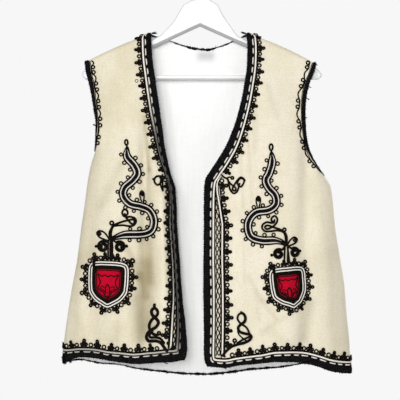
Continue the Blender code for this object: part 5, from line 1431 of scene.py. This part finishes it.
def make_serpentines():
    """The winding braid with a cream and a black cord on both sides and rings along both."""
    for piece, side in SIDES:
        run = even(smooth_path(SERPENTINE[piece] + [STEM[piece][0]], 1.2), 1.2)
        s = lengths(piece, run)
        w = Work()
        width = np.interp(s[:-3], [0, 5, 17, s[-1] - 30, s[-1]], [1.2, 2.2, 5.5, 5.5, 4.4])
        wide(w, piece, run[:-3], width, 1.7)
        piece_of(w, "serpentine_core_" + side, "black_binding", ["serpentine_" + side])
        creams, blacks = Work(), Work()
        tip = np.array(SPRIGS[piece][0][3][0], float)
        close = np.interp(s, [0, 17, s[-1] - 28, s[-1] - 4, s[-1]], [0.14, 1, 1, 0.42, 0.2])
        taper = np.interp(s[4:-6], [0, 18, s[-1] - 26, s[-1]], [0.5, 1, 1, 0.3])
        for way, first in ((1, 22), (-1, 15)):
            lay(creams, piece, offset(run, way * SERPENT_CREAM * close)[4:-6], 2.0 * taper)
            black = offset(run, way * SERPENT_BLACK * close)
            line = smooth_path(np.vstack([tip - [way * 0.9, 0.5], black[3::6], black[-1:]]), 1.3)
            lay(blacks, piece, line, 2.9, 0.4)
            out = offset(run, way * SERPENT_RINGS)
            out_s = lengths(piece, out)
            marks = np.arange(first, out_s[-1] - 24, SERPENT_PITCH)
            q = np.stack([np.interp(marks, out_s, out[:, i]) for i in range(2)], 1)
            radius = 2.75 * (1 + 0.08 * np.sin(2.3 * np.arange(len(q)) + way))
            cord_rings(blacks, piece, q, radius, 2.4, 0.35)
        piece_of(creams, "serpentine_cream_" + side, "cream_cord")
        piece_of(blacks, "serpentine_black_" + side, "black_cord")


def spiral(piece, x, z, turn, radius, turns, width):
    """One spiral cord: its radius grows evenly from 1.5 with the angle, and its end runs on to the
    top of the stem."""
    w = Work()
    t = np.linspace(0, 1, 110)
    angle = np.pi / 2 + turn * (TAU * turns * (1 - t) - 0.75)
    r = 1.5 + (radius - 1.5) * t
    path = np.stack([x + r * np.cos(angle), z + r * np.sin(angle)], 1)
    top = np.array(STEM[piece][0], float)
    arm = smooth_path(np.vstack([path[-1], (path[-1] + top) / 2 + [0, 1.2], top]), 1.2)
    lay(w, piece, even(np.vstack([path, arm[1:]]), 1.2), width, 0.5)
    return w


def make_sprigs():
    """Tendrils, leaves, sprays and lone rings, each a cord through a few places; then the stems and
    their spirals."""
    for piece, side in SIDES:
        w = Work()
        for width, closed, lift, pts in SPRIGS[piece]:
            path = smooth_path(pts, 1.1, closed)
            lay(w, piece, path, width * BOLD, lift, CORD if width < 2.7 else BRAID, closed)
        for x, z, radius, width in LONE_RINGS[piece]:
            cord_rings(w, piece, (x, z), radius, width * BOLD, 0.5)
        piece_of(w, "sprigs_" + side, "black_cord")
        w = Work()
        for away in (-2.7, 2.7) if piece == LEFT else (-3.2, 0.6, 3.3):
            lay(w, piece, offset(smooth_path(STEM[piece], 1.2), away), 3.5, 0.5)
        piece_of(w, "stem_cords_" + side, "black_cord", ["stem_" + side])
        for i, sizes in enumerate(SPIRAL[piece]):
            end = "%s_%d" % (side, i + 1)
            piece_of(spiral(piece, *sizes), "spiral_cord_" + end, "black_cord", ["spiral_" + end])


def on_shield(piece, q):
    """Places on the front of points given from the middle of its shield, turned by its tilt."""
    cx, cz, _, tilt = SHIELD[piece]
    c, s = np.cos(np.radians(tilt)), np.sin(np.radians(tilt))
    return np.stack([cx + q[:, 0] * c - q[:, 1] * s, cz + q[:, 0] * s + q[:, 1] * c], 1)


def shield_ring(piece, inset):
    """The shield's outline, drawn in by inset."""
    path = smooth_path(np.array(SHIELD_SHAPE[piece]) * SHIELD[piece][2], 1.0, True)
    return on_shield(piece, offset_closed(path, inset))


def offset_closed(path, inset):
    """A closed clockwise path drawn in by inset, with its corners kept from crossing."""
    t = unit(np.roll(path, -3, axis=0) - np.roll(path, 3, axis=0))
    way = np.stack([-t[:, 1], t[:, 0]], 1)
    way = way * -np.sign((way * path).sum())
    return even(path + way * inset, 1.2, True)


def shield_bands(piece, side):
    """Black and cream cords round the shield, side by side from its outline inwards."""
    black, cream = Work(), Work()
    for inset, width, lift, pale in SHIELD_BANDS:
        work, section = (cream, BRAID) if pale else (black, CORD)
        lay(work, piece, shield_ring(piece, inset), width, lift, section, closed=True)
    piece_of(cream, "shield_cream_" + side, "cream_cord")
    piece_of(black, "shield_bands_" + side, "black_cord", ["shield_frame_" + side])


def shield_inlay(piece, side):
    """The felt inside the cords: rings of its outline shrunk towards the middle, puffed up by
    0.9 (1 - share^4), with painted shade darkening it at the rim, where the cords stand round it."""
    edge = shield_ring(piece, SHIELD_FELT)
    centre = edge.mean(axis=0)
    share = np.linspace(1, 0.04, 22)
    grid = centre + (edge[None] - centre) * share[:, None, None]
    p, n = skin(piece, grid[..., 0], grid[..., 1], 1.5)
    p = p + n * (0.9 * (1 - share ** 4)[:, None, None])
    rows, cols = grid.shape[:2]
    points = np.vstack([p.reshape(-1, 3), p[-1].mean(axis=0, keepdims=True)])
    faces = grid_faces(rows, cols, True)
    last = np.arange(cols) + (rows - 1) * cols
    cap = np.stack([last, np.roll(last, -1), np.full(cols, rows * cols)], 1)
    v1, v2, v3 = points[faces[0, :3]]
    if np.cross(v2 - v1, v3 - v1) @ n[0, 0] < 0:
        faces, cap = faces[:, ::-1], cap[:, ::-1]
    uv = np.vstack([grid.reshape(-1, 2), centre[None]]) * MM
    # painted shade at the rim of the felt, beside the cords that stand round it
    rim = np.append(np.repeat(np.clip((share - 0.72) / 0.28, 0, 1) * 0.8, cols), 0.0)
    w = Work()
    w.add(points, [faces, cap], uv, shade=rim)
    piece_of(w, "shield_inlay_" + side, "red_felt", ["shield_felt_" + side])


def shield_cords(piece, side):
    """Cords over the shield: on the felt a frame line, a curling cartouche and an arch with a leaf on
    both sides; and a bar across the bands in one upper corner."""
    w = Work()
    grow = SHIELD[piece][2] / DRAWN_HALF
    lay(w, piece, shield_ring(piece, SHIELD_LINE), 1.7, 1.5, CORD, True)
    for points, width, closed, lift in ((CARTOUCHE, 2.1, True, 2.2), (ARCH, 2.2, False, 2.3),
                                        (SIDE_LEAF, 1.6, False, 2.2),
                                        ([(-x, y) for x, y in SIDE_LEAF], 1.6, False, 2.2),
                                        (CORNER_BAR, 5.4, False, 1.2)):
        path = smooth_path(np.array(points) * grow, 0.9, closed)
        lay(w, piece, on_shield(piece, path), width, lift, CORD, closed)
    piece_of(w, "shield_inlay_cords_" + side, "black_cord")


def shield_fringe(piece, side):
    """Rings and trefoils round the outside of the shield."""
    w = Work()
    line = shield_ring(piece, 0.0)
    base = Edge(piece, line, shield_ring(piece, SHIELD_FELT).mean(axis=0), 5, closed=True).outwards()
    seed, scale = (1.0, 1.06) if piece == LEFT else (4.0, 1.16)
    trefoils(w, base, 0, base.length, base.length / SHIELD_MOTIFS, seed=seed, scale=scale)
    piece_of(w, "shield_fringe_" + side, "black_cord")


def make_shields():
    """Both shields."""
    for piece, side in SIDES:
        shield_bands(piece, side)
        shield_inlay(piece, side)
        shield_cords(piece, side)
        shield_fringe(piece, side)


def make_tufts():
    """Frayed ends: from each place a bunch of spikes fans out round its own way, lengths and spread
    by sines of the spike's number."""
    w = Work()
    for piece, x, z, count, long, way, fan in TUFTS:
        i = np.arange(count)
        across = np.full(count, x) + 2.0 * np.sin(i * 2.4)
        root, normal = skin(piece, across, np.full(count, z) + 1.5 * np.sin(i * 3.9), 0.6)
        angle = np.radians(way) + np.radians(fan) * np.sin(i * 1.9 + x) ** 3
        lean = np.stack([np.cos(angle), 0.25 * np.sin(i * 5.1), np.sin(angle)], 1)
        size = (long * (0.45 + 0.55 * np.sin(i * 2.7 + z) ** 2))[:, None]
        side = unit(np.cross(lean, normal))
        spikes(w, [root + side * 0.4, root - side * 0.4, root + unit(normal) * 0.6], root + lean * size)
    piece_of(w, "frayed_threads", "black_cord")


def make_nape():
    """Half ring of plait under the nape, open upwards, with cords on both sides and trefoils below."""
    x0, z0, radius, spread = NAPE
    angle = -np.pi / 2 + np.radians(spread) * (np.linspace(0, 1, 60) - 0.5)
    ways = np.stack([np.cos(angle), np.sin(angle)], 1)
    middle = np.array([x0, z0])
    w = Work()
    wide(w, BACK, even(middle + ways * radius, 1.2), 5.2, 1.6)
    piece_of(w, "nape_half_ring", "black_binding", ["nape_motif"])
    black, cream = Work(), Work()
    for away, work, width in ((3.9, cream, 2.3), (-3.9, cream, 2.3), (6.1, black, 2.6), (-6.1, black, 2.6)):
        lay(work, BACK, even(middle + ways * (radius + away), 1.2), width)
    base = Edge(BACK, even((middle + ways * (radius + 6.1))[::-1], 1.0), (x0, z0 - 90), 4)
    trefoils(black, base, 1, base.length - 1, 19.0, seed=2.0)
    piece_of(cream, "nape_cream", "cream_cord")
    piece_of(black, "nape_cords", "black_cord")


def make_back_trim():
    """Border of the back's hem: a cream stripe between black cords, stitches and trefoils."""
    w = Work()
    lay(w, BACK, even(hem_line(BACK, HEM_STRIPE), 1.4), 3.3, section=BRAID)
    piece_of(w, "stripe_back_hem", "cream_cord")
    w = Work()
    dashes(w, BACK, hem_line(BACK, HEM_DASH), *STITCH[BACK], 0.3)
    piece_of(w, "stitches_back_hem", "cream_cord", materials=[SOUTACHE, WHITE_CORD])
    w = Work()
    for b in (HEM_STRIPE - 2.3, HEM_STRIPE + 2.3):
        lay(w, BACK, even(hem_line(BACK, b), 1.4), 1.5)
    base_line = hem_line(BACK, HEM_BASE)
    lay(w, BACK, even(base_line, 1.4), SOUTACHE_WIDE)
    base = Edge(BACK, base_line, (0, INSIDE_LOW), 6)
    trefoils(w, base, 2, base.length - 2, MOTIF, seed=5.0)
    piece_of(w, "trefoils_back_hem", "black_cord")


# ------------------------------------------------------------------ studio
# lens and sensor in mm, places and sizes in metres
LENS, SENSOR = 76.84, 36
CAMERA_PLACE = (-0.001757, -1.5, -0.4057)
LIT_PLACE = (0, 0, -0.4)
# name, place, length of a side, power
LIGHTS = [("front", (-0.3, -2.6, 0.05), 1.0, 40), ("key", (-1.3, -2.2, 0.6), 0.5, 14.5),
          ("behind", (1.9, 1.9, 0.5), 0.8, 60), ("fill", (1.9, -1.9, 0.3), 1.6, 6)]
# glow of the room from below to above: upward share of the way, strength
GLOW = {"From Min": -0.7, "From Max": 0.3, "To Min": 0.13, "To Max": 0.34}
FLOOR_RADIUS, FLOOR_HEIGHT, FLOOR_SIDES = 1.5, -1.25, 64


def link(ob):
    """Put an object into the scene."""
    bpy.context.scene.collection.objects.link(ob)
    return ob


def make_light(name, place, size, power):
    """A square soft light at a place, turned to the middle of the vest."""
    data = bpy.data.lights.new(name, "AREA")
    data.shape = "SQUARE"
    data.size = size
    data.energy = power
    ob = link(bpy.data.objects.new(name, data))
    ob.location = place
    ob.rotation_euler = (Vector(LIT_PLACE) - Vector(place)).to_track_quat("-Z", "Y").to_euler()


def make_camera():
    """Camera level with the middle of the vest, looking straight at its front."""
    cam = link(bpy.data.objects.new("camera", bpy.data.cameras.new("camera")))
    cam.data.lens = LENS
    cam.data.sensor_width = SENSOR
    cam.location = CAMERA_PLACE
    cam.rotation_euler = (np.pi / 2, 0, 0)
    bpy.context.scene.camera = cam
    bpy.context.scene.view_settings.view_transform = "Standard"


def make_room():
    """A room that glows more from above than from below, and is white where the camera sees it."""
    world = bpy.data.worlds.new("room")
    bpy.context.scene.world = world
    world.use_nodes = True
    tree = world.node_tree
    glow = tree.nodes["Background"]
    glow.inputs["Color"].default_value = (0.97, 0.985, 1.0, 1)
    way = tree.nodes.new("ShaderNodeTexCoord")
    split = tree.nodes.new("ShaderNodeSeparateXYZ")
    fade = tree.nodes.new("ShaderNodeMapRange")
    for key, value in GLOW.items():
        fade.inputs[key].default_value = value
    tree.links.new(way.outputs["Generated"], split.inputs[0])
    tree.links.new(split.outputs[2], fade.inputs[0])
    tree.links.new(fade.outputs[0], glow.inputs["Strength"])
    wall = tree.nodes.new("ShaderNodeBackground")
    wall.inputs["Color"].default_value = rgb(247, 247, 247)
    seen = tree.nodes.new("ShaderNodeLightPath")
    both = tree.nodes.new("ShaderNodeMixShader")
    tree.links.new(seen.outputs["Is Camera Ray"], both.inputs[0])
    tree.links.new(glow.outputs[0], both.inputs[1])
    tree.links.new(wall.outputs[0], both.inputs[2])
    tree.links.new(both.outputs[0], tree.nodes["World Output"].inputs["Surface"])


def make_floor():
    """A pale round floor below the vest."""
    a = np.linspace(0, TAU, FLOOR_SIDES, endpoint=False)
    height = np.full(FLOOR_SIDES, FLOOR_HEIGHT)
    corners = np.stack([FLOOR_RADIUS * np.cos(a), FLOOR_RADIUS * np.sin(a), height], 1)
    me = bpy.data.meshes.new("floor")
    me.from_pydata(corners.tolist(), [], [list(range(FLOOR_SIDES))])
    s = Shade("pale_floor", 0.8)
    tone = s.mix(s.noise(s.place(), 3.0) * 0.3, (0.8, 0.8, 0.8, 1), (0.74, 0.74, 0.74, 1))
    me.materials.append(s.finish(tone))
    floor = link(bpy.data.objects.new("floor", me))


def make_studio():
    """The camera, the room, the lights and the floor that isn't part of the vest."""
    make_camera()
    make_room()
    for row in LIGHTS:
        make_light(*row)
    make_floor()


make_studio()
cloth = make_cloth()
make_edges()
make_bindings()
make_borders()
make_armholes()
make_serpentines()
make_sprigs()
make_shields()
make_back_trim()
make_nape()
make_tufts()

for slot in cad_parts["hanger"].material_slots:
    slot.material = PLASTIC
